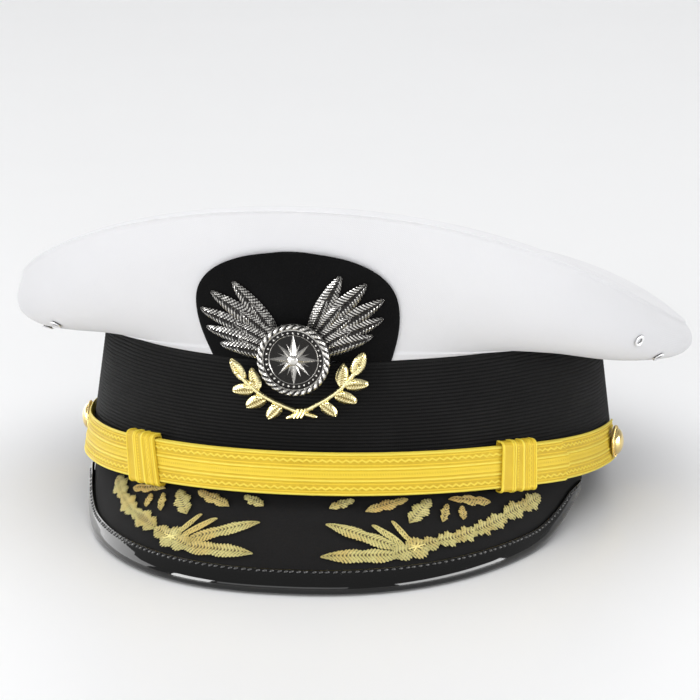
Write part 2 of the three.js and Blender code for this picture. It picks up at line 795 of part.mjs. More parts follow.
function buttonSeat(hand) {
  const share = 0.5;
  const foot = onStrap(hand * buttonBearing, share, 0);
  const face = onStrap(hand * buttonBearing, share, 1).sub(foot).normalize();
  const start = foot.clone().addScaledVector(face, -strapStandoff);
  return { start, face };
}

function shankCutter(hand) {
  const seat = buttonSeat(hand);
  const drill = lathed([[0, -2], [shankRadius + gap, -2], [shankRadius + gap, 8], [0, 8]], 12);
  return standing(drill, seat.start, seat.face);
}

// The long layer starts at one button, the short layer at the other
function chinStrapFront() {
  const end = -buttonBearing - strapEndPast;
  return cutBy(laceStrip(end, strapTipBearing, frontLayer, true), [shankCutter(-1)]);
}

function chinStrapBack() {
  const end = buttonBearing + strapEndPast;
  return cutBy(laceStrip(sliderLeft.bearing - backLayerTuck, end, backLayer, false), [shankCutter(1)]);
}

// Slider: a closed loop of lace round both layers, a little askew
function strapSlider(slider) {
  const half = sliderLength / 2 * 180 / Math.PI / bandHalfLength;
  const inner = backLayer - gap;
  const outer = frontLayer + strapThickness + gap;
  const around = [
    { share: -sliderMargin, out: inner, moreShare: -sliderEdge, moreOut: -sliderBack },
    { share: -sliderMargin, out: outer, moreShare: -sliderEdge, moreOut: sliderWall },
    { share: 0.5, out: outer, moreShare: 0, moreOut: sliderWall },
    { share: 1 + sliderMargin, out: outer, moreShare: sliderEdge, moreOut: sliderWall },
    { share: 1 + sliderMargin, out: inner, moreShare: sliderEdge, moreOut: -sliderBack },
    { share: 0.5, out: inner, moreShare: 0, moreOut: -sliderBack },
  ];
  const rings = around.map((spot) => {
    const middle = slider.bearing + slider.skew * (spot.share - 0.5);
    const inside = sliderSteps.map((step) => onStrap(middle + step * half, spot.share, spot.out));
    const outside = sliderSteps.map((step) => (
      onStrap(middle + step * half, spot.share + spot.moreShare, spot.out + spot.moreOut)));
    return [...outside, ...inside.reverse()];
  });
  return bodyThrough(rings, 'loop');
}

function capButton(hand) {
  const seat = buttonSeat(hand);
  const under = strapStandoff + strapThickness + 2.5 * gap;
  const brim = under + buttonRim;
  const profile = [[0, gap], [shankRadius, gap], [shankRadius, under], [buttonRadius - buttonBevel, under],
    [buttonRadius, under + buttonBevel], [buttonRadius, brim], [buttonRadius - buttonBevel, brim + buttonBevel / 2]];
  for (const share of domeShares) {
    const radius = (buttonRadius - domeInset) * share;
    profile.push([radius, brim + (buttonDome - buttonRim) * Math.sqrt(1 - share ** 2 * 0.9)]);
  }
  return standing(lathed(profile, buttonSides), seat.start, seat.face);
}

// Materials
const white = { color: 0xf1f1f4, roughness: 0.9, metalness: 0 };
const mohair = { color: 0x121215, roughness: 0.85, metalness: 0 };
const felt = { color: 0x0c0c0d, roughness: 0.95, metalness: 0 };
const patent = { color: 0x060607, roughness: 0.12, metalness: 0 };
const lace = { color: 0xf0b414, roughness: 0.5, metalness: 0.2 };
const bullion = { color: 0xe0c266, roughness: 0.45, metalness: 0.6 };
const gold = { color: 0xe3b044, roughness: 0.22, metalness: 1 };
const silver = { color: 0xb9b6b0, roughness: 0.25, metalness: 1 };

function piece(name, geometry, look) {
  const flat = geometry.index ? geometry.toNonIndexed() : geometry;
  flat.computeVertexNormals();
  const mesh = new THREE.Mesh(mergeVertices(withoutExtras(flat), 1e-5), new THREE.MeshStandardMaterial(look));
  mesh.name = name;
  return mesh;
}

const pieces = [
  piece('cap_band', capBand(), mohair),
  piece('crown_cover', coverWithVents(), white),
  piece('badge_patch', badgePatch(), felt),
  piece('badge_medallion', medallion(), silver),
  piece('badge_frond_left', palmFrond(-1), silver),
  piece('badge_frond_right', palmFrond(1), silver),
  piece('badge_laurels', laurelSprays(), gold),
  piece('visor', visorPlate(), felt),
  piece('visor_binding', visorBinding(), patent),
  piece('oak_spray_left', oakSpray(-1), bullion),
  piece('oak_spray_right', oakSpray(1), bullion),
  piece('chin_strap_front', chinStrapFront(), lace),
  piece('chin_strap_back', chinStrapBack(), lace),
  piece('strap_slider_left', strapSlider(sliderLeft), lace),
  piece('strap_slider_right', strapSlider(sliderRight), lace),
  piece('button_left', capButton(-1), gold),
  piece('button_right', capButton(1), gold),
];
for (const vent of vents) {
  pieces.push(piece(vent.name, ventEyelet(vent), silver));
}
for (const hand of [-1, 1]) {
  looseLeaves.forEach((leaf, i) => {
    const name = `oak_leaf_${hand < 0 ? 'left' : 'right'}_${i + 1}`;
    pieces.push(piece(name, looseLeaf(hand, leaf), bullion));
  });
}

// The cap tips back until the lowest of the binding touches the plane through the band's back edge
function restingTilt() {
  const binding = pieces.find((mesh) => mesh.name === 'visor_binding').geometry.getAttribute('position');
  let steepest = 0;
  for (let i = 0; i < binding.count; i += 1) {
    steepest = Math.max(steepest, Math.atan2(-binding.getZ(i), bandHalfLength - binding.getY(i)));
  }
  return steepest;
}

const tilt = restingTilt();
const tipped = new THREE.Group();
tipped.add(...pieces);
tipped.rotation.x = -tilt;
tipped.position.z = bandHalfLength * Math.sin(tilt);
tipped.updateMatrixWorld(true);

// The origin lies under the middle of the cap's outer box
const extent = new THREE.Box3().setFromObject(tipped, true);
tipped.position.y -= (extent.min.y + extent.max.y) / 2;
tipped.position.x -= (extent.min.x + extent.max.x) / 2;
tipped.position.z -= extent.min.z;

const group = new THREE.Group();
group.add(tipped);
group.updateMatrixWorld(true);

export default group;
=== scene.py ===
"""An officer's cap dressed for show: white cover, ribbed band, gold lace, badge and oak leaves.

Sizes are in millimetres in the cap's own directions (side, forward, up, measured from the middle
of the band's lower edge). Each finished piece is carried into the row frame, in metres.
"""

import json
import logging
import math
from dataclasses import dataclass, field
from enum import Enum
from functools import cache
from typing import Any, Callable

import bmesh
import bpy
from mathutils import Matrix, Vector, noise


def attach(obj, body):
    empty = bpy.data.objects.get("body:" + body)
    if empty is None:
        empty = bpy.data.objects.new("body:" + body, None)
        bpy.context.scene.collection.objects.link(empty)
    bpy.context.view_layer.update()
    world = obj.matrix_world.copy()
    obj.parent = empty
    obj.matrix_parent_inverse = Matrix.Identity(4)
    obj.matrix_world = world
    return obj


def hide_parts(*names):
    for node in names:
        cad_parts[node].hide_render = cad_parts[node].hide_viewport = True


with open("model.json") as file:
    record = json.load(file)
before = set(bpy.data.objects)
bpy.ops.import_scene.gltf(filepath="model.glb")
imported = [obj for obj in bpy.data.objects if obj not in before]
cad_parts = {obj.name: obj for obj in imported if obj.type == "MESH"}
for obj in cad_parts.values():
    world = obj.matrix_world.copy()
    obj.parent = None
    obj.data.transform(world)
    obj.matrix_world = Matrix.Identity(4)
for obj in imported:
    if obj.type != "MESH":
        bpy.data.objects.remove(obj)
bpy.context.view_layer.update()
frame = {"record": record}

LOG = logging.getLogger("cap")
MILLIMETRE = 0.001
MERGE = 0.0005
GAP = 0.3
SIDES = {-1: "left", 1: "right"}
RIM_POINT = -101.95

Colour = tuple[float, float, float, float]
Triple = tuple[float, float, float]
Spot = tuple[Vector, float]
Lay = Callable[[float, float], Spot]
Ground = Callable[[float, float, float], Vector]


def place(side: float, forward: float, up: float) -> Vector:
    """Return a place in the cap's own directions as a vector."""
    return Vector((side, -forward, up))


def mix(low: float, high: float, share: float) -> float:
    """Return the value a share of the way from low to high."""
    return low + (high - low) * share


def held(value: float, low: float = 0.0, high: float = 1.0) -> float:
    """Return a value held between two limits."""
    return min(max(value, low), high)


def ease(value: float, low: float, high: float) -> float:
    """Return 0 below low and 1 above high, with a smooth turn between."""
    share = held((value - low) / (high - low))
    return share * share * (3 - 2 * share)


def mound(offset: float, half: float) -> float:
    """Return a rounded bump of height 1 and a given half width."""
    return max(0.0, 1 - (offset / half) ** 2) ** 0.5


def round_rays(first: Vector, second: Vector, count: int) -> list[Vector]:
    """Return even directions round a circle from its two axes."""
    turns = [2 * math.pi * index / count for index in range(count)]
    return [first * math.cos(turn) + second * math.sin(turn) for turn in turns]


def swell(phase: float) -> float:
    """Return a wave between 0 and 1, at 1 for a phase of 0."""
    return 0.5 + 0.5 * math.cos(phase)


def normal_of(surface: Callable[[float, float], Vector], a: float, b: float, step: float) -> Vector:
    """Return the unit normal of a surface of two parameters.

    Args:
        surface: The surface's places by its two parameters.
        a: First parameter.
        b: Second parameter.
        step: Half of the distance between the compared places, in both parameters.

    Returns:
        The cross product of the two directions, at length 1.
    """
    across = surface(a + step, b) - surface(a - step, b)
    along = surface(a, b + step) - surface(a, b - step)
    return across.cross(along).normalized()


# The cap's forms, as in the solids


@dataclass(frozen=True)
class Stance:
    """How the cap stands in the row frame: tipped back, with its front edge and nape down."""

    tilt: float
    back: float
    lift: float

    @classmethod
    def from_record(cls, record: dict[str, Any], mount: str, forward: float) -> "Stance":
        """Work out the stance from a mount on the band's lower edge.

        Args:
            record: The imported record.
            mount: The mount's name.
            forward: The mount's place along the cap, in its own directions.

        Returns:
            The stance.
        """
        found = next(entry for entry in record["mounts"] if entry["name"] == mount)
        tilt = math.atan2(-found["axis"][1], -found["axis"][2])
        back = found["pos_m"][1] + forward * MILLIMETRE * math.cos(tilt)
        lift = found["pos_m"][2] - forward * MILLIMETRE * math.sin(tilt)
        return cls(tilt, back, lift)

    def turn(self) -> Matrix:
        """Return the turn from the cap's directions to the row frame."""
        return Matrix.Rotation(-self.tilt, 4, "X")

    def matrix(self) -> Matrix:
        """Return the whole change from the cap's millimetres to the row frame's metres."""
        return Matrix.Translation((0, self.back, self.lift)) @ self.turn() @ Matrix.Scale(MILLIMETRE, 4)


@dataclass(frozen=True)
class BandForm:
    """The head band's oval and its top edge."""

    half_width: float = 90.0
    half_length: float = 103.2
    height: float = 44.4
    taper: float = 5.6
    wall: float = 2.5
    front_dip: float = 2.8
    dip_end_cosine: float = 0.6

    def top_at(self, bearing: float) -> float:
        """Return the height of the band's top edge at a bearing."""
        share = held((math.cos(bearing) - self.dip_end_cosine) / (1 - self.dip_end_cosine))
        return self.height - self.front_dip * share

    def at(self, bearing: float, up: float, outward: float) -> Vector:
        """Return a place on the band's outer face, moved outward."""
        share = up / self.height
        half_width = self.half_width - self.taper * share + outward
        half_length = self.half_length - self.taper * share * self.half_length / self.half_width + outward
        return place(half_width * math.sin(bearing), half_length * math.cos(bearing), up)


@dataclass(frozen=True)
class CoverForm:
    """The white cover's side panel and top, joined at an oval seam whose height swings."""

    band: BandForm
    rim_half_width: float = 113.5
    rim_half_length: float = 117.0
    rim_shift: float = -1.0
    mean: float = 19.1
    pitch: float = 14.9
    saddle: float = 13.0
    peak: float = 0.3
    shoulder: float = -0.9
    skew: float = 4.0
    roll_height: float = 3.2
    roll_width: float = 0.075
    side_droop: float = 10.5
    back_droop: float = 3.0
    side_bulge: float = 0.4
    side_reach: float = 0.45
    rim_droop: float = 0.9

    def rim(self, bearing: float) -> tuple[float, float]:
        """Return the seam's side and forward places at a bearing."""
        return (
            self.rim_half_width * math.sin(bearing),
            self.rim_shift + self.rim_half_length * math.cos(bearing),
        )

    def top_height(self, bearing: float, share: float) -> float:
        """Return the top's height at a bearing and a share of the way out to the seam."""
        level = (
            self.mean
            + self.pitch * share * math.cos(bearing)
            + self.saddle * share**2 * math.cos(2 * bearing)
            + self.peak * share**3 * math.cos(3 * bearing)
            + self.shoulder * share**4 * math.cos(4 * bearing)
            - self.skew * (share * math.sin(bearing)) ** 3
        )
        turned = max(0.0, (share - 1 + self.roll_width) / self.roll_width)
        return self.band.height + level + self.roll_height * (1 - turned**2)

    def panel(self, bearing: float, along: float) -> Vector:
        """Return a place on the side panel, from the band's top edge to the seam."""
        foot = self.band.at(bearing, self.band.top_at(bearing), 0)
        side, forward = self.rim(bearing)
        low = foot.z + GAP
        high = self.top_height(bearing, 1)
        swell = math.sin(bearing) ** 2
        nape = max(0.0, -math.cos(bearing))
        droop = (self.side_droop + self.skew * math.sin(bearing)) * swell + self.back_droop * nape
        near_out = mix(1 / 3, self.side_reach, swell)
        near_up = mix(mix(low, high, 1 / 3), low, swell) - droop
        far_out = mix(2 / 3, 1 + self.side_bulge, swell)
        far_up = mix(mix(low, high, 2 / 3), low, swell) - droop * self.rim_droop
        rest = 1 - along
        out = 3 * rest**2 * along * near_out + 3 * rest * along**2 * far_out + along**3
        up = rest**3 * low + 3 * rest**2 * along * near_up + 3 * rest * along**2 * far_up + along**3 * high
        return place(mix(foot.x, side, out), mix(-foot.y, forward, out), up)

    def top(self, bearing: float, share: float) -> Vector:
        """Return a place on the top, a share of the way from its middle to the seam."""
        side, forward = self.rim(bearing)
        return place(
            side * share,
            self.rim_shift + (forward - self.rim_shift) * share,
            self.top_height(bearing, share),
        )

    def panel_normal(self, bearing: float, along: float) -> Vector:
        """Return the side panel's outward normal."""
        return normal_of(self.panel, bearing, held(along, 0.02, 0.98), 0.01)

    def top_normal(self, bearing: float, share: float) -> Vector:
        """Return the top's upward normal."""
        return -normal_of(self.top, bearing, max(share, 0.02), 0.006)


@dataclass(frozen=True)
class VisorForm:
    """The visor's plate, from under the band out to its edge."""

    band: BandForm
    half_width: float = 84.0
    reach: float = 131.0
    start: float = 8.5
    side_exponent: float = 0.87
    front_exponent: float = 0.93
    slope: float = 0.094
    level_share: float = 0.61
    end_height: float = 2.6
    sweep: float = 0.88
    bearing: float = 70.0
    thickness: float = 2.0
    inset: float = 1.8
    arch: float = 1.3

    def edge(self, share: float) -> Vector:
        """Return a place on the outer edge, from -1 at one end to 1 at the other."""
        turn = abs(share) * self.sweep
        angle = turn * math.pi / 2
        side = math.copysign(self.half_width * math.sin(angle) ** self.side_exponent, share)
        forward = self.start + (self.reach - self.start) * math.cos(angle) ** self.front_exponent
        level = -(forward + self.band.half_length) * self.slope
        late = max(0.0, (turn - self.level_share) / (1 - self.level_share))
        return place(side, forward, level + (self.end_height - level) * late * late * (2 - late))

    def at(self, share: float, out: float) -> Vector:
        """Return a place on the visor's upper face, out from the band's edge."""
        root = self.band.at(share * math.radians(self.bearing), 0, -self.inset)
        edge = self.edge(share)
        fall = max(out, 0.0) ** self.arch
        return Vector((mix(root.x, edge.x, out), mix(root.y, edge.y, out), mix(-GAP, edge.z, fall)))

    def normal(self, share: float, out: float) -> Vector:
        """Return the visor's upward normal."""
        return -normal_of(self.at, held(share, -0.985, 0.985), held(out, 0.03, 0.97), 0.012)

    def over(self, bearing: float, out: float, lift: float) -> Vector:
        """Return a place just over the felt, by bearing in degrees and distance out."""
        share = bearing / self.bearing
        portion = out / (self.at(share, 1) - self.at(share, 0)).length
        return self.at(share, portion) + self.normal(share, portion) * (GAP + lift)


@dataclass(frozen=True)
class StrapForm:
    """Where the chin strap lies: close round the band, leaning out over the visor."""

    band: BandForm
    width: float = 13.0
    middle: float = 8.0
    thickness: float = 1.1
    sink: float = 2.4
    sink_start: float = 35.0
    standoff: float = 0.5
    forward: float = 2.4
    lean: float = 0.8
    lean_start: float = 80.0
    lean_full: float = 50.0
    button_bearing: float = 84.8
    end_past: float = 4.0
    tip_bearing: float = 56.5
    point: float = 4.0
    layer_down: float = -58.0
    layer_up: float = -42.0
    slider_length: float = 15.0

    def front_layer(self) -> float:
        """Return how far the front layer's inner face lies over the back layer's."""
        return self.thickness + 1.5 * GAP

    def layer_rise(self, bearing: float, layer: float) -> float:
        """Return how far out a layer lies, down on the band where the back layer has ended."""
        return layer * ease(bearing, self.layer_down, self.layer_up)

    def at(self, bearing: float, share: float, outward: float) -> Vector:
        """Return a place on the strap by bearing in degrees, share of its width down and outward."""
        turn = math.radians(bearing)
        leaning = 1 - ease(abs(bearing), self.lean_full, self.lean_start)
        sink = self.sink * ease(bearing, self.sink_start, self.button_bearing)
        up = self.middle - sink + self.width * (0.5 - share)
        low = self.band.at(turn, 0, 0)
        outer = self.band.at(turn, 0, 1) - low
        out = self.standoff + leaning * (self.forward + self.lean * share) + outward
        return self.band.at(turn, up, 0) + outer * out

    def seat(self, hand: int) -> tuple[Vector, Vector]:
        """Return a button's foot and the direction that it faces."""
        foot = self.at(hand * self.button_bearing, 0.5, 0)
        face = (self.at(hand * self.button_bearing, 0.5, 1) - foot).normalized()
        return foot - face * self.standoff, face


@dataclass
class BadgeGround:
    """The cover's front over the band, as a table of places, and the badge's ground before it."""

    cover: CoverForm
    patch_thickness: float = 1.4
    knee: float = 12.0
    lean: float = 0.128
    turn: float = 4.5
    shift: float = -1.0
    reach: float = 40.0
    top: float = 40.0
    step: float = 2.0
    table: dict[tuple[int, int], tuple[Vector, Vector]] = field(default_factory=dict)

    def solve(self, side: float, height: float) -> tuple[Vector, Vector]:
        """Find the cover's place at a side and a height over the band, in a few steps.

        Args:
            side: Distance to the wearer's left.
            height: Height over the band's top edge.

        Returns:
            The place and the outward normal there.
        """
        band = self.cover.band
        bearing = math.asin(side / band.half_width)
        along = 0.5
        for _ in range(14):
            point = self.cover.panel(bearing, along)
            rise = self.cover.top_height(bearing, 1) - band.top_at(bearing)
            along += (band.top_at(bearing) + GAP + height - point.z) / rise
            bearing += (side - point.x) / (self.cover.rim_half_width * math.cos(bearing))
        return self.cover.panel(bearing, along), self.cover.panel_normal(bearing, along)

    def node(self, column: int, row: int) -> tuple[Vector, Vector]:
        """Return one solved place of the table, working it out the first time."""
        if (column, row) not in self.table:
            self.table[column, row] = self.solve(column * self.step, row * self.step)
        return self.table[column, row]

    def front(self, side: float, height: float, outward: float) -> Vector:
        """Return a place over the cover's front, between the table's solved places."""
        across, up = side / self.step, height / self.step
        column, row = math.floor(across), math.floor(up)
        total = Vector((0, 0, 0))
        for i in (0, 1):
            for j in (0, 1):
                weight = (1 - abs(across - column - i)) * (1 - abs(up - row - j))
                if weight > 0:
                    point, normal = self.node(column + i, row + j)
                    total += (point + normal * outward) * weight
        return total

    def badge(self, side: float, height: float, outward: float) -> Vector:
        """Return a place on the badge's ground, which bridges down in front of the band."""
        turn = math.radians(self.turn)
        turned_side = self.shift + side * math.cos(turn) - height * math.sin(turn)
        turned_height = height * math.cos(turn) + side * math.sin(turn)
        clear = GAP + self.patch_thickness + GAP + outward
        if turned_height >= self.knee:
            return self.front(turned_side, turned_height, clear)
        knee = self.front(turned_side, self.knee, clear)
        drop = self.knee - turned_height
        return place(knee.x, -knee.y - self.lean * drop, knee.z - drop)


# Shader arithmetic and recipes


class Signal:
    """A shader value that takes part in arithmetic; each operator adds its Math node."""

    def __init__(self, tree: bpy.types.NodeTree, socket: bpy.types.NodeSocket) -> None:
        """Wrap an output socket of a node tree."""
        self.tree = tree
        self.socket = socket

    def math(self, operation: str, *operands: "Signal | float") -> "Signal":
        """Add a Math node on these operands.

        Args:
            operation: The node's operation.
            operands: Signals or numbers, in the order of its sockets.

        Returns:
            The node's result.
        """
        node = self.tree.nodes.new("ShaderNodeMath")
        node.operation = operation
        for socket, operand in zip(node.inputs, operands):
            if isinstance(operand, Signal):
                self.tree.links.new(operand.socket, socket)
            else:
                socket.default_value = operand
        return Signal(self.tree, node.outputs[0])

    def __add__(self, other: "Signal | float") -> "Signal":
        """Add."""
        return self.math("ADD", self, other)

    __radd__ = __add__

    def __mul__(self, other: "Signal | float") -> "Signal":
        """Multiply."""
        return self.math("MULTIPLY", self, other)

    __rmul__ = __mul__

    def __sub__(self, other: "Signal | float") -> "Signal":
        """Take away."""
        return self.math("SUBTRACT", self, other)

    def __rsub__(self, other: float) -> "Signal":
        """Take this from a number."""
        return self.math("SUBTRACT", other, self)

    def wave(self) -> "Signal":
        """Return the sine, brought to 0 to 1."""
        return self.math("SINE", self) * 0.5 + 0.5

    def between(self, low: float, high: float) -> "Signal":
        """Return 0 below low and 1 above high."""
        span = self.tree.nodes.new("ShaderNodeMapRange")
        span.inputs["From Min"].default_value = low
        span.inputs["From Max"].default_value = high
        self.tree.links.new(self.socket, span.inputs["Value"])
        return Signal(self.tree, span.outputs["Result"])


class Recipe:
    """A material in the making: its node tree, its shader and the calls that add to them."""

    def __init__(self, name: str) -> None:
        """Start a material with a Principled shader alone."""
        self.material = bpy.data.materials.new(name)
        self.material.use_nodes = True
        self.tree = self.material.node_tree
        self.tree.nodes.clear()
        self.shader = self.node("ShaderNodeBsdfPrincipled")
        self.node("ShaderNodeOutputMaterial", inputs={"Surface": self.shader.outputs["BSDF"]})

    def node(
        self,
        kind: str,
        settings: dict[str, Any] | None = None,
        inputs: dict[str | int, Any] | None = None,
    ) -> bpy.types.Node:
        """Add a node.

        Args:
            kind: The node's type.
            settings: Its own settings, set before its sockets.
            inputs: Values, signals or sockets for its inputs.

        Returns:
            The new node.
        """
        node = self.tree.nodes.new(kind)
        for key, value in (settings or {}).items():
            setattr(node, key, value)
        for key, value in (inputs or {}).items():
            self.feed(node.inputs[key], value)
        return node

    def feed(self, socket: bpy.types.NodeSocket, value: Any) -> None:
        """Link a signal or socket into an input, or set its value."""
        source = value.socket if isinstance(value, Signal) else value
        if isinstance(source, bpy.types.NodeSocket):
            self.tree.links.new(source, socket)
        else:
            socket.default_value = source

    def dress(self, **values: Any) -> None:
        """Set the shader's sockets; underscores in a name stand for spaces."""
        for key, value in values.items():
            self.feed(self.shader.inputs[key.replace("_", " ").title().replace("Ior", "IOR")], value)

    def places(self) -> bpy.types.NodeSocket:
        """Return Object coordinates."""
        return self.node("ShaderNodeTexCoord").outputs["Object"]

    def cloth(self) -> tuple[Signal, Signal]:
        """Return the piece's own UV map, in millimetres along and across."""
        split = self.node("ShaderNodeSeparateXYZ", inputs={0: self.node("ShaderNodeTexCoord").outputs["UV"]})
        return Signal(self.tree, split.outputs[0]), Signal(self.tree, split.outputs[1])

    def stored(self, name: str) -> Signal:
        """Return a number stored on the mesh."""
        node = self.node("ShaderNodeAttribute", {"attribute_name": name})
        return Signal(self.tree, node.outputs["Fac"])

    def noise(self, scale: float, detail: float = 2.0, stretch: Triple = (1, 1, 1)) -> Signal:
        """Add a noise pattern.

        Args:
            scale: Cells to the metre.
            detail: Octaves.
            stretch: Scale along each direction.

        Returns:
            The pattern, about 0.5.
        """
        spread = self.node("ShaderNodeMapping", inputs={"Vector": self.places(), "Scale": stretch})
        node = self.node(
            "ShaderNodeTexNoise",
            inputs={"Vector": spread.outputs[0], "Scale": scale, "Detail": detail},
        )
        return Signal(self.tree, node.outputs[0])

    def blend(self, share: Signal, first: Any, second: Any) -> bpy.types.NodeSocket:
        """Return a colour between two, by a signal."""
        node = self.node("ShaderNodeMix", {"data_type": "RGBA"}, {0: share, 6: first, 7: second})
        return node.outputs[2]

    def bump(self, height: Signal, depth: float, strength: float = 1.0) -> bpy.types.NodeSocket:
        """Return a normal raised by a signal, to a depth in metres."""
        node = self.node(
            "ShaderNodeBump", inputs={"Strength": strength, "Distance": depth, "Height": height}
        )
        return node.outputs["Normal"]


# Finishes


@dataclass(frozen=True)
class CoverCloth:
    """White cloth in a fine twill, a little cooler in broad random patches."""

    name: str = "cover_twill"
    white: Colour = (0.8, 0.8, 0.818, 1)
    shade: Colour = (0.77, 0.77, 0.79, 1)
    thread: float = 9200.0

    def made(self) -> bpy.types.Material:
        """Build the material."""
        recipe = Recipe(self.name)
        split = recipe.node("ShaderNodeSeparateXYZ", inputs={0: recipe.places()})
        side, back, up = (Signal(recipe.tree, split.outputs[i]) for i in range(3))
        twill = ((side + up) * self.thread).wave() * ((back - up) * self.thread).wave()
        cast = recipe.noise(18, 3).between(0.35, 0.75)
        slub = recipe.noise(900, 2, (1, 1, 4))
        recipe.dress(
            base_color=recipe.blend(cast, self.white, self.shade),
            roughness=0.86 + slub * 0.08,
            normal=recipe.bump(twill * 0.6 + slub * 0.7, 0.00008, 0.6),
            specular_ior_level=0.1,
            sheen_weight=0.2,
            sheen_roughness=0.5,
        )
        return recipe.material


@dataclass(frozen=True)
class Mohair:
    """Black ribbed braid, with painted sheen on the crests of its ribs and painted shade in their valleys."""

    name: str = "ribbed_mohair"
    crest: Colour = (0.015, 0.015, 0.015, 1)
    valley: Colour = (0.003, 0.003, 0.003, 1)

    def made(self) -> bpy.types.Material:
        """Build the material."""
        recipe = Recipe(self.name)
        along, _ = recipe.cloth()
        yarn = recipe.noise(2600, 3, (1, 1, 3))
        twist = (along * 9.0 + yarn * 3.0).wave()
        wear_and_sheen = recipe.noise(60, 4).between(0.45, 0.8)
        relief = recipe.stored("relief")
        recipe.dress(
            # Painted sheen on the rib crests and painted shade in the valleys, by the stored relief; the
            # sheen is uneven in random patches of wear
            base_color=recipe.blend(relief * (0.55 + 0.45 * wear_and_sheen), self.valley, self.crest),
            roughness=0.62 + yarn * 0.25,
            normal=recipe.bump(twist * 0.5 + yarn, 0.00009, 0.8),
            specular_ior_level=0.09,
            sheen_weight=0.02,
            sheen_roughness=0.4,
        )
        return recipe.material


@dataclass(frozen=True)
class Felt:
    """Matte black felt with a short nap and a few lighter fibres."""

    name: str = "black_felt"
    black: Colour = (0.006, 0.0058, 0.006, 1)
    nap: Colour = (0.015, 0.0145, 0.015, 1)
    gloss: float = 0.15

    def made(self) -> bpy.types.Material:
        """Build the material."""
        recipe = Recipe(self.name)
        fibres = recipe.noise(2400, 5, (1, 1.6, 1))
        cloud = recipe.noise(45, 3)
        recipe.dress(
            base_color=recipe.blend((fibres * 0.7 + cloud * 0.4).between(0.35, 0.85), self.black, self.nap),
            roughness=0.9 + fibres * 0.1,
            normal=recipe.bump(fibres, 0.00016, 0.7),
            specular_ior_level=self.gloss,
            sheen_weight=0.02,
            sheen_roughness=0.6,
        )
        return recipe.material


VISOR_FELT = Felt()
# The badge patch's felt is a darker copy of the visor's felt: painted shade
SHADED_PATCH_FELT = Felt("patch_felt", (0.003, 0.003, 0.0032, 1), (0.008, 0.008, 0.0083, 1), 0.04)


@dataclass(frozen=True)
class Patent:
    """Black patent leather: a deep gloss with a faint ripple, hairline scuffs and waxed stitches."""

    name: str = "patent_leather"
    black: Colour = (0.002, 0.002, 0.002, 1)
    scuff: Colour = (0.008, 0.008, 0.008, 1)
    thread: Colour = (0.06, 0.06, 0.06, 1)

    def made(self) -> bpy.types.Material:
        """Build the material."""
        recipe = Recipe(self.name)
        ripple = recipe.noise(220, 2)
        hairlines = recipe.noise(900, 4, (1, 5, 1)).between(0.62, 0.8)
        stitch = recipe.stored("relief").between(0.6, 0.8)
        recipe.dress(
            base_color=recipe.blend(stitch, recipe.blend(hairlines, self.black, self.scuff), self.thread),
            roughness=0.04 + hairlines * 0.1 + stitch * 0.14,
            normal=recipe.bump(ripple, 0.0003, 0.1),
            specular_ior_level=0.5,
        )
        return recipe.material


@dataclass(frozen=True)
class Lace:
    """Gold lace: gilt yarn woven over cords, with painted shade between the cords and painted highlights on
    their tops.
    """

    name: str = "gold_lace"
    # bright is a painted highlight on the cords' tops, deep is painted shade between them
    bright: Colour = (1.0, 0.84, 0.12, 1)
    gold: Colour = (0.95, 0.69, 0.045, 1)
    deep: Colour = (0.62, 0.38, 0.014, 1)

    def made(self) -> bpy.types.Material:
        """Build the material."""
        recipe = Recipe(self.name)
        along, across = recipe.cloth()
        weft = (along * 15.0).wave()
        warp = (across * 21.0).wave()
        glint = recipe.noise(3200, 2)
        patch = recipe.noise(70, 3).between(0.3, 0.75)
        relief = recipe.stored("relief")
        ground = recipe.blend(weft * 0.35 + warp * 0.25 + patch * 0.4, self.deep, self.gold)
        # Painted shade where the relief is low, painted highlight where the cords stand highest
        low = recipe.blend(relief.between(0.05, 0.35), ground, self.gold)
        recipe.dress(
            base_color=recipe.blend(relief.between(0.3, 0.95), low, self.bright),
            roughness=0.42 + glint * 0.2,
            metallic=0.08,
            specular_ior_level=0.3,
            normal=recipe.bump(weft * warp + glint * 0.6, 0.0001, 0.8),
        )
        return recipe.material


@dataclass(frozen=True)
class Bullion:
    """Pale gold wire in satin stitch, warmer where the thread beneath shows, with painted shade in the gaps
    between threads and leaves.
    """

    name: str = "bullion_thread"
    pale: Colour = (1.0, 0.9, 0.36, 1)
    warm: Colour = (0.98, 0.7, 0.2, 1)
    deep: Colour = (0.1, 0.05, 0.004, 1)

    def made(self) -> bpy.types.Material:
        """Build the material."""
        recipe = Recipe(self.name)
        along, across = recipe.cloth()
        coil = (across * 26.0 + along * 5.0).wave()
        glint = recipe.noise(2600, 2)
        warmth = recipe.noise(95, 2).between(0.44, 0.64)
        relief = recipe.stored("relief").between(0.04, 0.42)
        face = recipe.blend(warmth * 0.6, self.pale, self.warm)
        recipe.dress(
            # Painted shade: low relief and the gaps between the coils turn toward the deep colour
            base_color=recipe.blend(relief * (0.88 + 0.12 * coil), self.deep, face),
            roughness=0.3 + glint * 0.2,
            metallic=0.03,
            sheen_weight=0.45,
            sheen_roughness=0.35,
            sheen_tint=self.pale,
            normal=recipe.bump(coil + glint * 0.8, 0.00008, 0.9),
        )
        return recipe.material


PALE_BULLION = Bullion()
WARM_BULLION = Bullion("warm_bullion_thread", (1.0, 0.8, 0.28, 1), (0.98, 0.6, 0.16, 1))


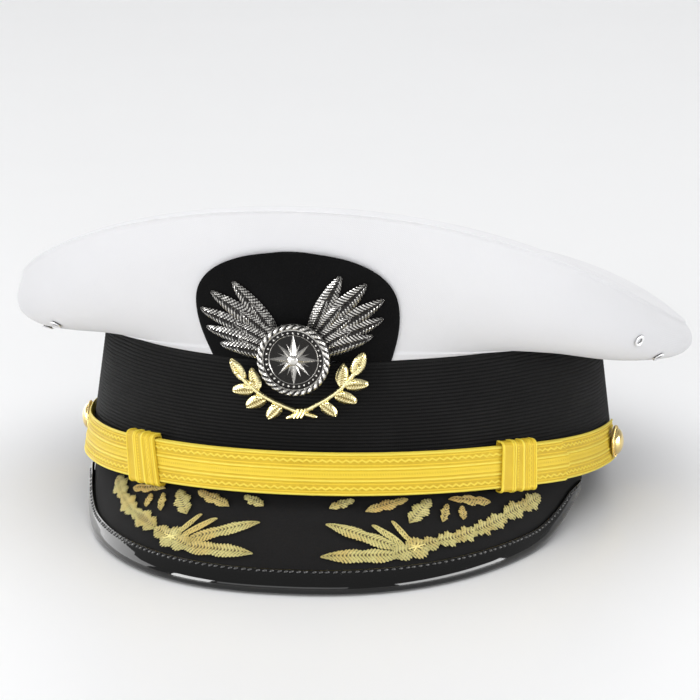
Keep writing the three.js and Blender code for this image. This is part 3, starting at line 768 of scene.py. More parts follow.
@dataclass(frozen=True)
class CastMetal:
    """Plated metal, bright on raised parts and dark in recesses: rubbed metal and patina on the silver,
    painted shade on the gilt and nickel.
    """

    name: str
    bright: Colour
    deep: Colour
    roughness: float
    darkest: float = 0.1
    lightest: float = 0.7

    def made(self) -> bpy.types.Material:
        """Build the material."""
        recipe = Recipe(self.name)
        relief = recipe.stored("relief").between(self.darkest, self.lightest)
        tarnish = recipe.noise(380, 4).between(0.35, 0.8)
        hammered = recipe.noise(1500, 2)
        recipe.dress(
            base_color=recipe.blend(relief * (1.0 - tarnish * 0.25), self.deep, self.bright),
            roughness=self.roughness + tarnish * 0.14,
            metallic=0.55 + relief * 0.45,
            normal=recipe.bump(hammered + tarnish * 0.4, 0.00005, 0.5),
        )
        return recipe.material


# On the gilt, the button gilt and the nickel, the dark recesses are painted shade and the button's lighter
# dome top a painted highlight; the silver's dark hollows are patina
GILT = CastMetal("pale_gilt", (0.98, 0.89, 0.5, 1), (0.4, 0.28, 0.08, 1), 0.2, 0.0, 0.5)
BUTTON_GILT = CastMetal("button_gilt", (0.95, 0.74, 0.32, 1), (0.24, 0.13, 0.03, 1), 0.16)
SILVER = CastMetal("antique_silver", (0.86, 0.84, 0.8, 1), (0.012, 0.011, 0.01, 1), 0.2, 0.4, 0.85)
NICKEL = CastMetal("eyelet_nickel", (0.93, 0.93, 0.94, 1), (0.03, 0.03, 0.03, 1), 0.35, 0.15, 0.5)


@dataclass(frozen=True)
class Paper:
    """The studio's pale paper sweep."""

    name: str = "studio_paper"
    tone: Colour = (0.925, 0.928, 0.936, 1)
    grain: Colour = (0.905, 0.908, 0.916, 1)

    def made(self) -> bpy.types.Material:
        """Build the material."""
        recipe = Recipe(self.name)
        recipe.dress(
            base_color=recipe.blend(recipe.noise(6, 2), self.tone, self.grain),
            roughness=0.3,
            specular_ior_level=0.06,
        )
        return recipe.material


Finish = CoverCloth | Mohair | Felt | Patent | Lace | Bullion | CastMetal | Paper


@cache
def material_of(finish: Finish) -> bpy.types.Material:
    """Return a finish's material, built the first time that it is asked for."""
    return finish.made()


# Making pieces


class Workpiece:
    """A mesh in the making, in the cap's own millimetres, with a UV map and its relief stored."""

    def __init__(self, name: str) -> None:
        """Start an empty piece."""
        self.name = name
        self.bm = bmesh.new()
        self.uv = self.bm.loops.layers.uv.new("UVMap")
        self.relief = self.bm.verts.layers.float.new("relief")

    def grid(self, columns: int, rows: int, lay: Lay, cloth: tuple[float, float] = (1.0, 1.0)) -> None:
        """Add a grid and lay it onto a form; where its edges meet they are merged.

        Args:
            columns: Faces along the first share.
            rows: Faces along the second share.
            lay: Gives the place and relief at each pair of shares from 0 to 1.
            cloth: The UV map's size, in millimetres.
        """
        made = bmesh.ops.create_grid(self.bm, x_segments=columns, y_segments=rows, size=1.0)["verts"]
        shares = {vert: ((vert.co.x + 1) / 2, (vert.co.y + 1) / 2) for vert in made}
        for vert in made:
            for loop in vert.link_loops:
                loop[self.uv].uv = (shares[vert][0] * cloth[0], shares[vert][1] * cloth[1])
        for vert, (first, second) in shares.items():
            vert.co, vert[self.relief] = lay(first, second)
        bmesh.ops.remove_doubles(self.bm, verts=made, dist=MERGE)

    def spun(self, profile: list[Triple], foot: Vector, direction: Vector, steps: int = 48) -> None:
        """Spin an outline round an axis.

        Args:
            profile: Radius, height along the axis and relief of each corner.
            foot: Where the axis starts.
            direction: Where it points.
            steps: Faces round it.
        """
        corners = []
        for radius, height, relief in profile:
            corner = self.bm.verts.new((radius, 0, height))
            corner[self.relief] = relief
            corners.append(corner)
        edges = [self.bm.edges.new(pair) for pair in zip(corners, corners[1:])]
        before = set(self.bm.verts) - set(corners)
        bmesh.ops.spin(
            self.bm, geom=corners + edges, cent=(0, 0, 0), axis=(0, 0, 1),
            angle=2 * math.pi, steps=steps, use_merge=True,
        )
        made = [vert for vert in self.bm.verts if vert not in before]
        bmesh.ops.remove_doubles(self.bm, verts=made, dist=MERGE)
        made = [vert for vert in self.bm.verts if vert not in before]
        turn = direction.to_track_quat("Z", "Y").to_matrix().to_4x4()
        bmesh.ops.transform(self.bm, matrix=Matrix.Translation(foot) @ turn, verts=made)

    def bead(self, middle: Vector, along: Vector, up: Vector, half: Triple, relief: float) -> None:
        """Add a small rounded bead or stitch.

        Args:
            middle: Its middle.
            along: The direction of its length.
            up: The direction that it stands up in.
            half: Half of its length, width and height.
            relief: Relief stored on it.
        """
        across = up.cross(along).normalized()
        turn = Matrix((along.normalized(), across, up.normalized())).transposed().to_4x4()
        size = Matrix.Diagonal((*half, 1.0))
        made = bmesh.ops.create_uvsphere(
            self.bm, u_segments=8, v_segments=5, radius=1.0, matrix=Matrix.Translation(middle) @ turn @ size
        )["verts"]
        for vert in made:
            vert[self.relief] = relief

    def point(self, foot: Vector, ray: Vector, up: Vector, size: Triple) -> None:
        """Add one faceted point of a star.

        Args:
            foot: Where it starts.
            ray: Where it points.
            up: The direction of its ridge.
            size: Its length, half width and height.
        """
        length, half, height = size
        across = up.cross(ray).normalized()
        turn = Matrix((across, up.normalized(), ray.normalized())).transposed().to_4x4()
        shape = Matrix.Diagonal((half, height, 1.0, 1.0))
        made = bmesh.ops.create_cone(
            self.bm, cap_ends=True, segments=4, radius1=1.0, radius2=0.02, depth=length,
            matrix=Matrix.Translation(foot + ray * length / 2) @ turn @ shape,
        )["verts"]
        for vert in made:
            vert[self.relief] = 0.55 + 0.4 * held((vert.co - foot).dot(up) / height)

    def finished(self, stance: Stance, finish: Finish, node: str, crease: float) -> None:
        """Close the mesh, carry it into the row frame and hand it to the frame.

        Args:
            stance: How the cap stands.
            finish: What it is finished in.
            node: The node that it stands for.
            crease: Edges sharper than this angle, in degrees, stay sharp.
        """
        open_edges = [edge for edge in self.bm.edges if edge.is_boundary]
        bmesh.ops.holes_fill(self.bm, edges=open_edges, sides=0)
        bmesh.ops.recalc_face_normals(self.bm, faces=self.bm.faces)
        self.bm.transform(stance.matrix())
        mesh = bpy.data.meshes.new(self.name)
        self.bm.to_mesh(mesh)
        self.bm.free()
        mesh.shade_smooth()
        mesh.set_sharp_from_angle(angle=math.radians(crease))
        piece = bpy.data.objects.new(self.name, mesh)
        bpy.context.scene.collection.objects.link(piece)
        mesh.materials.append(material_of(finish))
        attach(piece, "root")
        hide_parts(node)
        LOG.info("%s: %d faces", self.name, len(mesh.polygons))


class Edge(Enum):
    """How a leaf's edge runs."""

    PLAIN = "plain"
    LOBED = "lobed"
    WAVY = "wavy"


LeafSpot = tuple[float, float, float, float, float] | tuple[float, float, float, float, float, Edge]


@dataclass(frozen=True)
class Leaf:
    """A leaf from a base to a tip on some ground, with its width and its kind of edge."""

    base: tuple[float, float]
    tip: tuple[float, float]
    width: float
    edge: Edge = Edge.PLAIN
    thickness: float = 0.9
    threads: float = 1.15
    thread_rise: float = 0.5
    rib: float = 0.3
    serration: float = 0.16
    slant: float = 1.6
    roundness: float = 0.94
    rib_half: float = 0.16
    end_taper: float = 8.0
    rows: int = 10

    @classmethod
    def at(cls, spot: LeafSpot, hand: int, **style: float) -> "Leaf":
        """Make a leaf from a table's row.

        Args:
            spot: Its base, its tip and its width, with its kind of edge if not plain.
            hand: -1 or 1, which side it is on.
            style: Sizes that aren't as usual.

        Returns:
            The leaf.
        """
        base, out, tip, tip_out, width, *edge = spot
        return cls((hand * base, out), (hand * tip, tip_out), width, *edge, **style)

    def half_at(self, along: float) -> float:
        """Return half of the leaf's width at a share of its length."""
        outline = max(0.0, math.sin(math.pi * along**0.85)) ** 0.55
        if self.edge is Edge.LOBED:
            outline = max(0.0, math.sin(math.pi * along**1.12)) ** 0.62
            outline *= 0.58 + 0.42 * abs(math.sin(3 * math.pi * along + 0.2)) ** 0.8
        elif self.edge is Edge.WAVY:
            outline *= 0.72 + 0.28 * abs(math.sin(2 * math.pi * along + 0.2)) ** 0.8
        return self.width / 2 * outline

    def add_to(self, piece: Workpiece, ground: Ground) -> None:
        """Add the leaf: a domed blade in oblique threads, with a sunk middle line.

        Args:
            piece: The piece that it becomes a part of.
            ground: The surface that it lies on.
        """
        start, finish = ground(*self.base, 0), ground(*self.tip, 0)
        length = (finish - start).length
        count = max(6, round(length / self.threads))
        rows = self.rows
        run = (self.tip[0] - self.base[0], self.tip[1] - self.base[1])
        step = 0.01

        def lay(along: float, round_it: float) -> Spot:
            """Lay the blade's skin: across its top, then back beneath."""
            a = mix(self.base[0], self.tip[0], along)
            b = mix(self.base[1], self.tip[1], along)
            here = ground(a, b, 0)
            ahead = ground(a + run[0] * step, b + run[1] * step, 0) - here
            normal = (ground(a, b, 1) - here).normalized()
            across = ahead.cross(normal).normalized()
            station = round(round_it * (rows + 1)) % (rows + 1)
            if station > rows - 1:
                return here, 0.0
            side = -1 + 2 * station / (rows - 1)
            thread = swell(2 * math.pi * (along * count + abs(side) * self.slant))
            ragged = noise.noise(Vector((1.7 * math.floor(along * count + 0.5), self.base[0], round(side))))
            half = self.half_at(along) * (1 - self.serration * (1 - thread + ragged))
            dome = math.sqrt(max(0.0, 1 - self.roundness * side * side))
            ends = min(1.0, self.end_taper * along, self.end_taper * (1 - along)) ** 0.5
            sunk = self.rib * math.exp(-((side / self.rib_half) ** 2))
            blade = self.thickness * ends * (dome * (1 - sunk) + 0.08)
            rise = blade + self.thread_rise * (thread - 0.5) * dome
            # Relief: highest on the thread crests, lower at the edges, lowest in the sunk middle line; the
            # gold finishes paint it as shade, the silver as patina
            relief = held(0.85 * thread + 0.3 * ragged + 0.1 - 1.6 * sunk) * held(dome + 0.6)
            return here + across * (half * side) + normal * max(rise, 0.02), relief

        piece.grid(count * 6, rows + 1, lay, (length, self.width * 2))


def add_stem(
    piece: Workpiece, ground: Ground, spots: list[tuple[float, float]], width: float, height: float
) -> None:
    """Add a twisted stem through a few places on some ground.

    Args:
        piece: The piece that it becomes a part of.
        ground: The surface that it lies on.
        spots: The places, by the ground's two measures.
        width: The stem's width.
        height: How far it stands up.
    """
    last = len(spots) - 1
    length = sum((ground(*spots[i + 1], 0) - ground(*spots[i], 0)).length for i in range(last))
    twists = length / 1.1

    def middle(along: float) -> tuple[float, float]:
        """Return the stem's line between its places."""
        k = min(int(along * last), last - 1)
        t = along * last - k
        before, after = spots[max(k - 1, 0)], spots[min(k + 2, last)]
        here, there = spots[k], spots[k + 1]
        return tuple(
            0.5 * (2 * here[i] + (there[i] - before[i]) * t
                   + (2 * before[i] - 5 * here[i] + 4 * there[i] - after[i]) * t * t
                   + (3 * here[i] - before[i] - 3 * there[i] + after[i]) * t**3)
            for i in (0, 1)
        )

    def lay(along: float, round_it: float) -> Spot:
        """Lay the stem's skin as a half-sunk cord."""
        a, b = middle(along)
        nearby = middle(min(along + 0.01, 1.0)) if along < 0.99 else middle(along - 0.01)
        here = ground(a, b, 0)
        ahead = (ground(*nearby, 0) - here) * (1 if along < 0.99 else -1)
        normal = (ground(a, b, 1) - here).normalized()
        across = ahead.cross(normal).normalized()
        angle = 2 * math.pi * round_it
        strand = swell(2 * math.pi * along * twists + 2 * angle)
        grow = (0.88 + 0.12 * strand) * min(1.0, 12 * along, 12 * (1 - along)) ** 0.5
        side = math.cos(angle) * width / 2 * grow
        rise = height * 0.5 * (1 + math.sin(angle) * grow)
        # Relief is higher on the cord's upper side: the gilt paints the underside darker as shade, the silver
        # reads it as patina
        return here + across * side + normal * rise, 0.35 + 0.6 * strand * max(0.0, math.sin(angle))

    piece.grid(max(12, round(length * 2.4)), 10, lay, (length, width * 3))


# The cap's sub-assemblies


class Zone(Enum):
    """Which part of the cover a line of its outline lies on."""

    SKIRT = "skirt"
    PANEL = "panel"
    TOP = "top"


@dataclass
class Cover:
    """The white cover: a hollow cloth shell with a skirt, a hem, a piped seam and a soft top."""

    form: CoverForm
    wall: float = 2.0
    skirt: float = 9.0
    hem_rise: float = 0.35
    hem_end: float = 0.075
    piping_rise: float = 0.35
    sides: int = 200
    softness: float = 0.45
    inside: tuple[tuple[Zone, tuple[float, ...]], ...] = (
        (Zone.SKIRT, (1.0, 0.0)),
        (Zone.PANEL, (0.12, 0.25, 0.4, 0.55, 0.7, 0.82, 0.9, 0.95)),
        (Zone.TOP, (0.95, 0.9, 0.8, 0.6, 0.4, 0.2, 0.0)),
    )

    def outline(self) -> list[tuple[Zone, float, float]]:
        """Return the outer outline from the top's middle down to the skirt: zone, place, rise."""
        tops = [0.0, 0.02, 0.08, 0.16, 0.24, 0.32, 0.4, 0.48, 0.56, 0.63, 0.7, 0.76, 0.81, 0.85, 0.885]
        tops += [0.91, 0.93, 0.945, 0.957, 0.967, 0.976, 0.983, 0.988]
        lines = [(Zone.TOP, share, 0.0) for share in tops]
        lines += [(Zone.TOP, 0.9915, -0.1), (Zone.TOP, 0.9945, 0.12), (Zone.TOP, 0.998, self.piping_rise)]
        lines += [(Zone.PANEL, 0.999, self.piping_rise + 0.1), (Zone.PANEL, 0.992, self.piping_rise * 0.6)]
        lines += [(Zone.PANEL, 0.983, -0.08), (Zone.PANEL, 0.972, -0.02)]
        steps = 34
        low, high = self.hem_end + 0.02, 0.96
        lines += [(Zone.PANEL, mix(high, low, step / steps), 0.0) for step in range(steps + 1)]
        lines += [(Zone.PANEL, self.hem_end, 0.0), (Zone.PANEL, self.hem_end - 0.006, self.hem_rise)]
        lines += [(Zone.PANEL, share, self.hem_rise) for share in (0.055, 0.04, 0.025, 0.012)]
        lines += [(Zone.PANEL, 0.004, self.hem_rise * 0.6), (Zone.PANEL, 0.0, 0.0)]
        lines += [(Zone.SKIRT, 0.0, 0.0), (Zone.SKIRT, 0.5, 0.0), (Zone.SKIRT, 1.0, 0.0)]
        return lines

    def at(self, bearing: float, zone: Zone, share: float, rise: float) -> Vector:
        """Return a place on the cover's skin.

        Args:
            bearing: Angle round the cap from its front.
            zone: Which part of the cover.
            share: Where on that part.
            rise: Distance outward from the plain form.

        Returns:
            The place.
        """
        band = self.form.band
        if zone is Zone.SKIRT:
            up = mix(band.top_at(bearing) + GAP, band.top_at(bearing) - self.skirt, share)
            return band.at(bearing, up, rise - band.wall - GAP)
        if zone is Zone.PANEL:
            return self.form.panel(bearing, share) + self.form.panel_normal(bearing, share) * rise
        return self.form.top(bearing, share) + self.form.top_normal(bearing, share) * rise

    def crease(self, bearing: float, zone: Zone, share: float) -> float:
        """Return how far the cloth stands off its plain form, in soft waves."""
        if zone is Zone.SKIRT:
            return 0.0
        if zone is Zone.PANEL:
            held_down = math.sin(math.pi * held(share, 0.0, 1.0)) ** 1.2
            loose = 0.25 + 0.75 * math.sin(bearing) ** 2
            spot = Vector((2.6 * math.sin(bearing), 2.6 * math.cos(bearing), 0.9 * share))
            return self.softness * held_down * loose * noise.noise(spot * 1.7)
        spot = Vector((1.9 * share * math.sin(bearing), 1.9 * share * math.cos(bearing), 4.0))
        return self.softness * (1 - share**6) * noise.noise(spot)

    def build(self, stance: Stance) -> None:
        """Build the cover and hand it to the frame."""
        lines = [(*line, 0.0) for line in self.outline()]
        for zone, shares in self.inside:
            lines += [(zone, share, 0.0, self.wall) for share in shares]
        last = len(lines) - 1

        def lay(around: float, down: float) -> Spot:
            """Lay the shell from the top's middle, out, down, in and back up to the middle."""
            zone, share, rise, inward = lines[round(down * last)]
            bearing = 2 * math.pi * around
            soft = self.crease(bearing, zone, share)
            return self.at(bearing, zone, share, rise + soft - inward), 0.5 + rise

        piece = Workpiece("white_cover")
        piece.grid(self.sides, last, lay, (700.0, 300.0))
        piece.finished(stance, CoverCloth(), "crown_cover", 60)


@dataclass
class HeadBand:
    """The ribbed band: an oval ring of braid with rounded ribs and turned edges."""

    form: BandForm
    ribs: int = 38
    rib_rise: float = 0.3
    samples: int = 4
    sides: int = 256

    def build(self, stance: Stance) -> None:
        """Build the band and hand it to the frame."""
        face = self.ribs * self.samples
        form = self.form

        def lay(around: float, over: float) -> Spot:
            """Lay the ring: up its ribbed face, over its top and down inside."""
            bearing = 2 * math.pi * around
            station = round(over * (face + 4))
            top = form.top_at(bearing)
            if station <= face:
                share = station / face
                rib = abs(math.sin(math.pi * station / self.samples))
                edge = min(1.0, 26 * share + 0.15, 26 * (1 - share) + 0.15)
                # The rib's relief is what the braid paints as sheen on the crests and shade in the valleys
                return form.at(bearing, top * share, self.rib_rise * (rib - 1) * edge), 0.1 + 0.9 * rib
            inner = [(top, -form.wall), (top * 0.5, -form.wall), (0.0, -form.wall), (0.0, -0.045)]
            up, outward = inner[station - face - 1]
            return form.at(bearing, up, outward), 0.4

        piece = Workpiece("ribbed_band")
        piece.grid(self.sides, face + 4, lay, (610.0, 95.0))
        piece.finished(stance, Mohair(), "cap_band", 70)


@dataclass
class BadgePatch:
    """The felt patch behind the badge, rounded over the top."""

    ground: BadgeGround
    base: float = 28.0
    widest: float = 32.0
    shift: float = -1.2
    shoulder: float = 17.0
    top: float = 36.0
    start: float = 0.8
    soft_edge: float = 1.2

    def half_at(self, height: float) -> float:
        """Return half of the patch's width at a height."""
        if height < self.shoulder:
            return mix(self.base, self.widest, math.sin(height / self.shoulder * math.pi / 2))
        rise = held((height - self.shoulder) / (self.top - self.shoulder))
        return self.widest * (1 - rise**2.4) ** (1 / 2.2)

    def build(self, stance: Stance) -> None:
        """Build the patch and hand it to the frame."""
        rows, columns = 30, 36
        back = 6

        def lay(up: float, across: float) -> Spot:
            """Lay the patch: across its face, then back behind it."""
            eased = 1 - (1 - up) ** 1.7
            height = mix(self.start, self.top - 0.02, eased)
            half = self.half_at(height)
            station = round(across * (columns + back))
            if station <= columns:
                share = -math.cos(math.pi * station / columns)
                from_edge = min(half * (1 - abs(share)), self.top - height + 0.4, height - self.start + 0.4)
                sunk = 0.5 * (1 - held(from_edge / self.soft_edge)) ** 2
                lift = GAP + self.ground.patch_thickness - sunk
            else:
                share = 1 - 2 * (station - columns) / back
                lift = GAP
            if station == columns + back:
                share, lift = -1.0, GAP + self.ground.patch_thickness - 0.5
            if station in (0, columns):
                lift = GAP + self.ground.patch_thickness - 0.5
            return self.ground.front(self.shift + half * share, height, lift), 0.5

        piece = Workpiece("badge_felt")
        piece.grid(rows, columns + back, lay, (40.0, 140.0))
        piece.finished(stance, SHADED_PATCH_FELT, "badge_patch", 50)


BLADE = {"thickness": 1.05, "threads": 1.15, "thread_rise": 0.3, "rib": 0.5, "serration": 0.03}
SHORT_BLADE = {"thickness": 0.9, "threads": 0.95, "thread_rise": 0.25, "rib": 0.5, "serration": 0.03}
LAUREL = {"thickness": 1.3, "threads": 0.8, "thread_rise": 0.12, "rib": 0.4, "serration": 0.02}


@dataclass
class Badge:
    """The badge: a compass medallion between two palm fronds, over two crossing laurel sprays.

    The rows of fronds and laurels hold base, tip and width. The dish's rows hold distance in from
    the rim, distance under the face and relief, and the hub's radius, height over the face and
    relief. A point of the star is the first row whose step its number divides by: step, distance
    from the rim, half width, height.
    """

    ground: BadgeGround
    radius: float = 11.5
    height: float = 3.0
    standoff: float = 3.0
    thickness: float = 2.4
    fronds: tuple[LeafSpot, ...] = (
        (5, 10, 17, 28, 6),
        (5, 9, 24.5, 25, 6.5),
        (5, 7, 29, 19.5, 6.5),
        (5, 5, 28, 13.5, 6),
        (5, 3.5, 24, 8, 5.5),
    )
    frond_stem: tuple[tuple[float, float], ...] = ((4, 0), (5.5, 5), (5.8, 11.5))
    short_reach: float = 0.56
    short_width: float = 0.72
    stem: tuple[tuple[float, float], ...] = ((-5, -16.5), (3, -13.5), (12, -8.5), (19, -1.5))
    laurels: tuple[LeafSpot, ...] = (
        (6, -12, 11, -16.5, 4.2),
        (10.5, -9.5, 17.5, -12.5, 4.6),
        (14, -7, 21.5, -7, 4.6),
        (13, -7.5, 14.5, 0, 4.2),
        (17, -4, 21, 3, 4.4),
    )
    dish: tuple[Triple, ...] = (
        (11.5, 2.4, 0.2), (0.8, 2.4, 0.2), (0.1, 1.9, 0.5), (0.1, 0.9, 0.5), (2.0, 0.4, 0.6),
        (2.3, 1.0, 0.0), (3.4, 1.15, 0.0), (3.7, 0.85, 0.85), (4.0, 1.1, 0.1), (11.5, 0.95, 0.3),
    )
    hub: tuple[Triple, ...] = (
        (0, -1, 0.5), (1.7, -1, 0.3), (1.6, 0.3, 0.7), (0.9, 0.75, 0.9), (0, 0.85, 0.9),
    )
    star: tuple[tuple[int, float, float, float], ...] = (
        (4, 3.2, 1.75, 1.35), (2, 4.6, 1.35, 1.05), (1, 6.0, 0.7, 0.6),
    )
    strands: int = 30
    beads: int = 32
    bead: float = 0.42
    bead_inset: float = 2.85
    berry: float = 0.75
    post: float = 1.6

    def medallion(self, stance: Stance) -> None:
        """Build the medallion: a dish with a rope rim, a ring of beads and an eight-pointed star."""
        facing = place(0, 1, -self.ground.lean).normalized()
        foot = self.ground.badge(0, self.height, 0) + facing * self.standoff
        right = Vector((1, 0, 0))
        above = facing.cross(right)
        thick, radius = self.thickness, self.radius
        piece = Workpiece("medallion")
        dish = [(radius - inset, thick - drop, relief) for inset, drop, relief in self.dish]
        piece.spun(dish, foot, facing, 72)

        def rope(around: float, round_it: float) -> Spot:
            """Lay the twisted rope along the rim."""
            turn, angle = 2 * math.pi * around, 2 * math.pi * round_it
            strand = abs(math.cos(angle + self.strands * turn / 2))
            cord = 0.62 + 0.3 * strand
            ring = radius - 0.9 + cord * math.cos(angle)
            ray = above * math.cos(turn) + right * math.sin(turn)
            return foot + ray * ring + facing * (thick - 0.55 + cord * math.sin(angle)), strand

        piece.grid(self.strands * 8, 12, rope, (72.0, 5.0))
        base = foot + facing * (thick - 1.0)
        for ray in round_rays(above, right, self.beads):
            piece.bead(base + ray * (radius - self.bead_inset), ray, facing, (self.bead,) * 3, 0.9)
        for index, ray in enumerate(round_rays(above, right, 16)):
            inset, half, height = next(row[1:] for row in self.star if index % row[0] == 0)
            piece.point(base, ray, facing, (radius - inset, half, height))
        piece.spun([(size, thick + up, relief) for size, up, relief in self.hub], foot, facing, 24)
        ground = self.ground
        behind = ground.front(ground.shift, self.height, ground.patch_thickness + 3.5 * GAP)
        length = (foot - behind).length + 0.4
        post = [(0, 0, 0.2), (self.post, 0, 0.2), (self.post, length, 0.2), (0, length, 0.2)]
        piece.spun(post, behind, (foot - behind).normalized(), 16)
        piece.finished(stance, SILVER, "badge_medallion", 32)

    def frond(self, stance: Stance, hand: int) -> None:
        """Build one palm frond: long ribbed blades over a root, with short blades in front."""
        piece = Workpiece(f"palm_frond_{SIDES[hand]}")

        def raised(lift: float) -> Ground:
            """Return the badge's ground raised a little."""
            return lambda side, height, outward: self.ground.badge(side, height, outward + lift)

        for order, spot in enumerate(self.fronds):
            Leaf.at(spot, hand, **BLADE).add_to(piece, raised(0.12 * (order % 2)))
        for side, up, to_side, to_up, width in self.fronds[:4]:
            tip = (mix(side, to_side, self.short_reach), mix(up, to_up, self.short_reach) + 1.2)
            spot = (side, up - 0.6, *tip, width * self.short_width)
            Leaf.at(spot, hand, **SHORT_BLADE).add_to(piece, raised(0.8))
        add_stem(piece, self.ground.badge, [(hand * a, b) for a, b in self.frond_stem], 3.4, 1.7)
        piece.finished(stance, SILVER, f"badge_frond_{SIDES[hand]}", 45)

    def sprays(self, stance: Stance) -> None:
        """Build the two laurel sprays with their berries and the tie where they cross."""
        piece = Workpiece("laurel_sprays")
        for hand in SIDES:
            add_stem(piece, self.ground.badge, [(hand * a, b) for a, b in self.stem], 1.6, 1.5)
            for spot in self.laurels:
                Leaf.at(spot, hand, **LAUREL).add_to(piece, self.ground.badge)
                side, up, to_side, to_up, _ = spot
                berry = (hand * (mix(side, to_side, 0.25) + 1.1), mix(up, to_up, 0.25) + 1.3)
                foot = self.ground.badge(*berry, 1.3)
                outward = (self.ground.badge(*berry, 2.3) - foot).normalized()
                piece.bead(foot, Vector((1, 0, 0)), outward, (self.berry,) * 3, 0.9)
        for turn in (-1, 0, 1):
            tie = [(turn * 1.1 - 1.2, -16.2), (turn * 1.1, -14.6), (turn * 1.1 + 0.6, -12.9)]
            add_stem(piece, lambda a, b, c: self.ground.badge(a, b, c + 0.9), tie, 0.9, 1.0)
        piece.finished(stance, GILT, "badge_laurels", 45)

    def build(self, stance: Stance) -> None:
        """Build the whole badge."""
        self.frond(stance, -1)
        self.frond(stance, 1)
        self.sprays(stance)
        self.medallion(stance)


@dataclass
class Visor:
    """The visor: a felt-covered plate and the stitched patent binding round its edge.

    The rows of legs hold a share of a leg's length and how far the leather stands up there.
    """

    form: VisorForm
    wall: float = 0.9
    leg: float = 4.8
    nose: float = 3.2
    end: float = 0.965
    stations: int = 110
    stitch_pitch: float = 2.25
    stitch_inset: float = 1.1
    stitch: Triple = (0.8, 0.4, 0.5)
    stitch_lean: float = 0.35
    furrow: float = 0.22
    furrow_half: float = 0.15
    pucker: float = 0.3
    legs: tuple[tuple[float, float], ...] = (
        (0.0, -0.35), (0.03, 0.0), (0.11, 0.08), (0.19, -0.12), (0.24, -0.16),
        (0.3, -0.04), (0.4, 0.1), (0.53, 0.14), (0.67, 0.09), (0.79, 0.03),
    )

    def plate(self, stance: Stance) -> None:
        """Build the felt plate."""
        form = self.form
        steps = 18

        def lay(across: float, over: float) -> Spot:
            """Lay the plate: out over its top, then back beneath."""
            share = -1 + 2 * across
            station = round(over * (2 * steps + 1))
            if station == 2 * steps + 1:
                return form.at(share, 0), 0.6
            if station <= steps:
                return form.at(share, station / steps), 0.6
            out = (2 * steps - station) / (steps - 1)
            under = form.at(share, out) - form.normal(share, out) * form.thickness
            under.z = min(under.z, -GAP)
            return under, 0.2

        piece = Workpiece("visor_felt")
        piece.grid(self.stations, 2 * steps + 1, lay, (260.0, 80.0))
        piece.finished(stance, VISOR_FELT, "visor", 50)

    def lengths(self) -> list[float]:
        """Return the edge's length from one end up to each of many even shares."""
        count = 400
        total, before = [0.0], self.form.edge(-self.end)
        for index in range(1, count + 1):
            here = self.form.edge(self.end * (-1 + 2 * index / count))
            total.append(total[-1] + (here - before).length)
            before = here
        return total

    def section(self, share: float) -> tuple[Vector, Vector, Vector, float]:
        """Return the binding's middle, outward and upward directions and leg at a share of the edge."""
        normal = self.form.normal(share, 0.97)
        edge = self.form.at(share, 1)
        outward = edge - self.form.at(share, 0.9)
        outward = (outward - normal * outward.dot(normal)).normalized()
        reach = (edge - self.form.at(share, 0)).length
        return edge - normal * self.form.thickness / 2, outward, normal, min(self.leg, reach * 0.45)

    def binding(self, stance: Stance) -> None:
        """Build the binding: a soft U over the edge, puckered at each stitch, and its stitches."""
        lengths = self.lengths()
        count = len(lengths) - 1
        within = self.form.thickness / 2 + GAP
        beyond = within + self.wall
        legs = self.legs
        arc = 12
        inside = 6

        def lay(across: float, over: float) -> Spot:
            """Lay the U: in from the top leg's edge, round the nose and back under."""
            share = self.end * (-1 + 2 * across)
            middle, outward, normal, leg = self.section(share)
            length = lengths[round(across * count)]
            puff = abs(math.sin(math.pi * length / self.stitch_pitch))
            station = round(over * (len(legs) * 2 + arc + 1 + inside))
            if station < len(legs):
                along, rise = legs[station]
                near = held(1 - abs(along - self.furrow) / self.furrow_half)
                lifted = beyond + rise + self.pucker * puff * near
                return middle + outward * (-leg * (1 - along)) + normal * lifted, 0.5
            station -= len(legs)
            if station <= arc:
                angle = math.pi / 2 - math.pi * station / arc
                out = GAP + beyond - self.nose * (1 - math.cos(angle))
                return middle + outward * out + normal * beyond * math.sin(angle), 0.5
            station -= arc + 1
            if station < len(legs):
                along, rise = legs[len(legs) - 1 - station]
                return middle + outward * (-leg * (1 - along)) - normal * (beyond + rise * 0.4), 0.5
            station -= len(legs)
            if station < inside:
                angle = -math.pi / 2 + math.pi * (station - 1) / (inside - 3)
                if station in (0, inside - 1):
                    height = -within if station == 0 else within
                    return middle - outward * leg + normal * height, 0.3
                out = GAP + 0.4 * within * math.cos(angle)
                return middle + outward * out + normal * within * math.sin(angle), 0.3
            return middle - outward * leg + normal * (beyond - 0.35), 0.5

        piece = Workpiece("patent_binding")
        piece.grid(count, len(legs) * 2 + arc + 1 + inside, lay, (300.0, 26.0))
        whole = int(lengths[-1] / self.stitch_pitch)
        for index in range(2, whole - 1):
            target = index * self.stitch_pitch
            step = next(i for i, length in enumerate(lengths) if length >= target)
            share = self.end * (-1 + 2 * step / count)
            middle, outward, normal, leg = self.section(share)
            spot = middle - outward * (leg - self.stitch_inset) + normal * (beyond + 0.02)
            ahead = outward.cross(normal)
            piece.bead(spot, ahead + outward * self.stitch_lean, normal, self.stitch, 0.9)
        piece.finished(stance, Patent(), "visor_binding", 50)

    def build(self, stance: Stance) -> None:
        """Build the visor's pieces."""
        self.plate(stance)
        self.binding(stance)


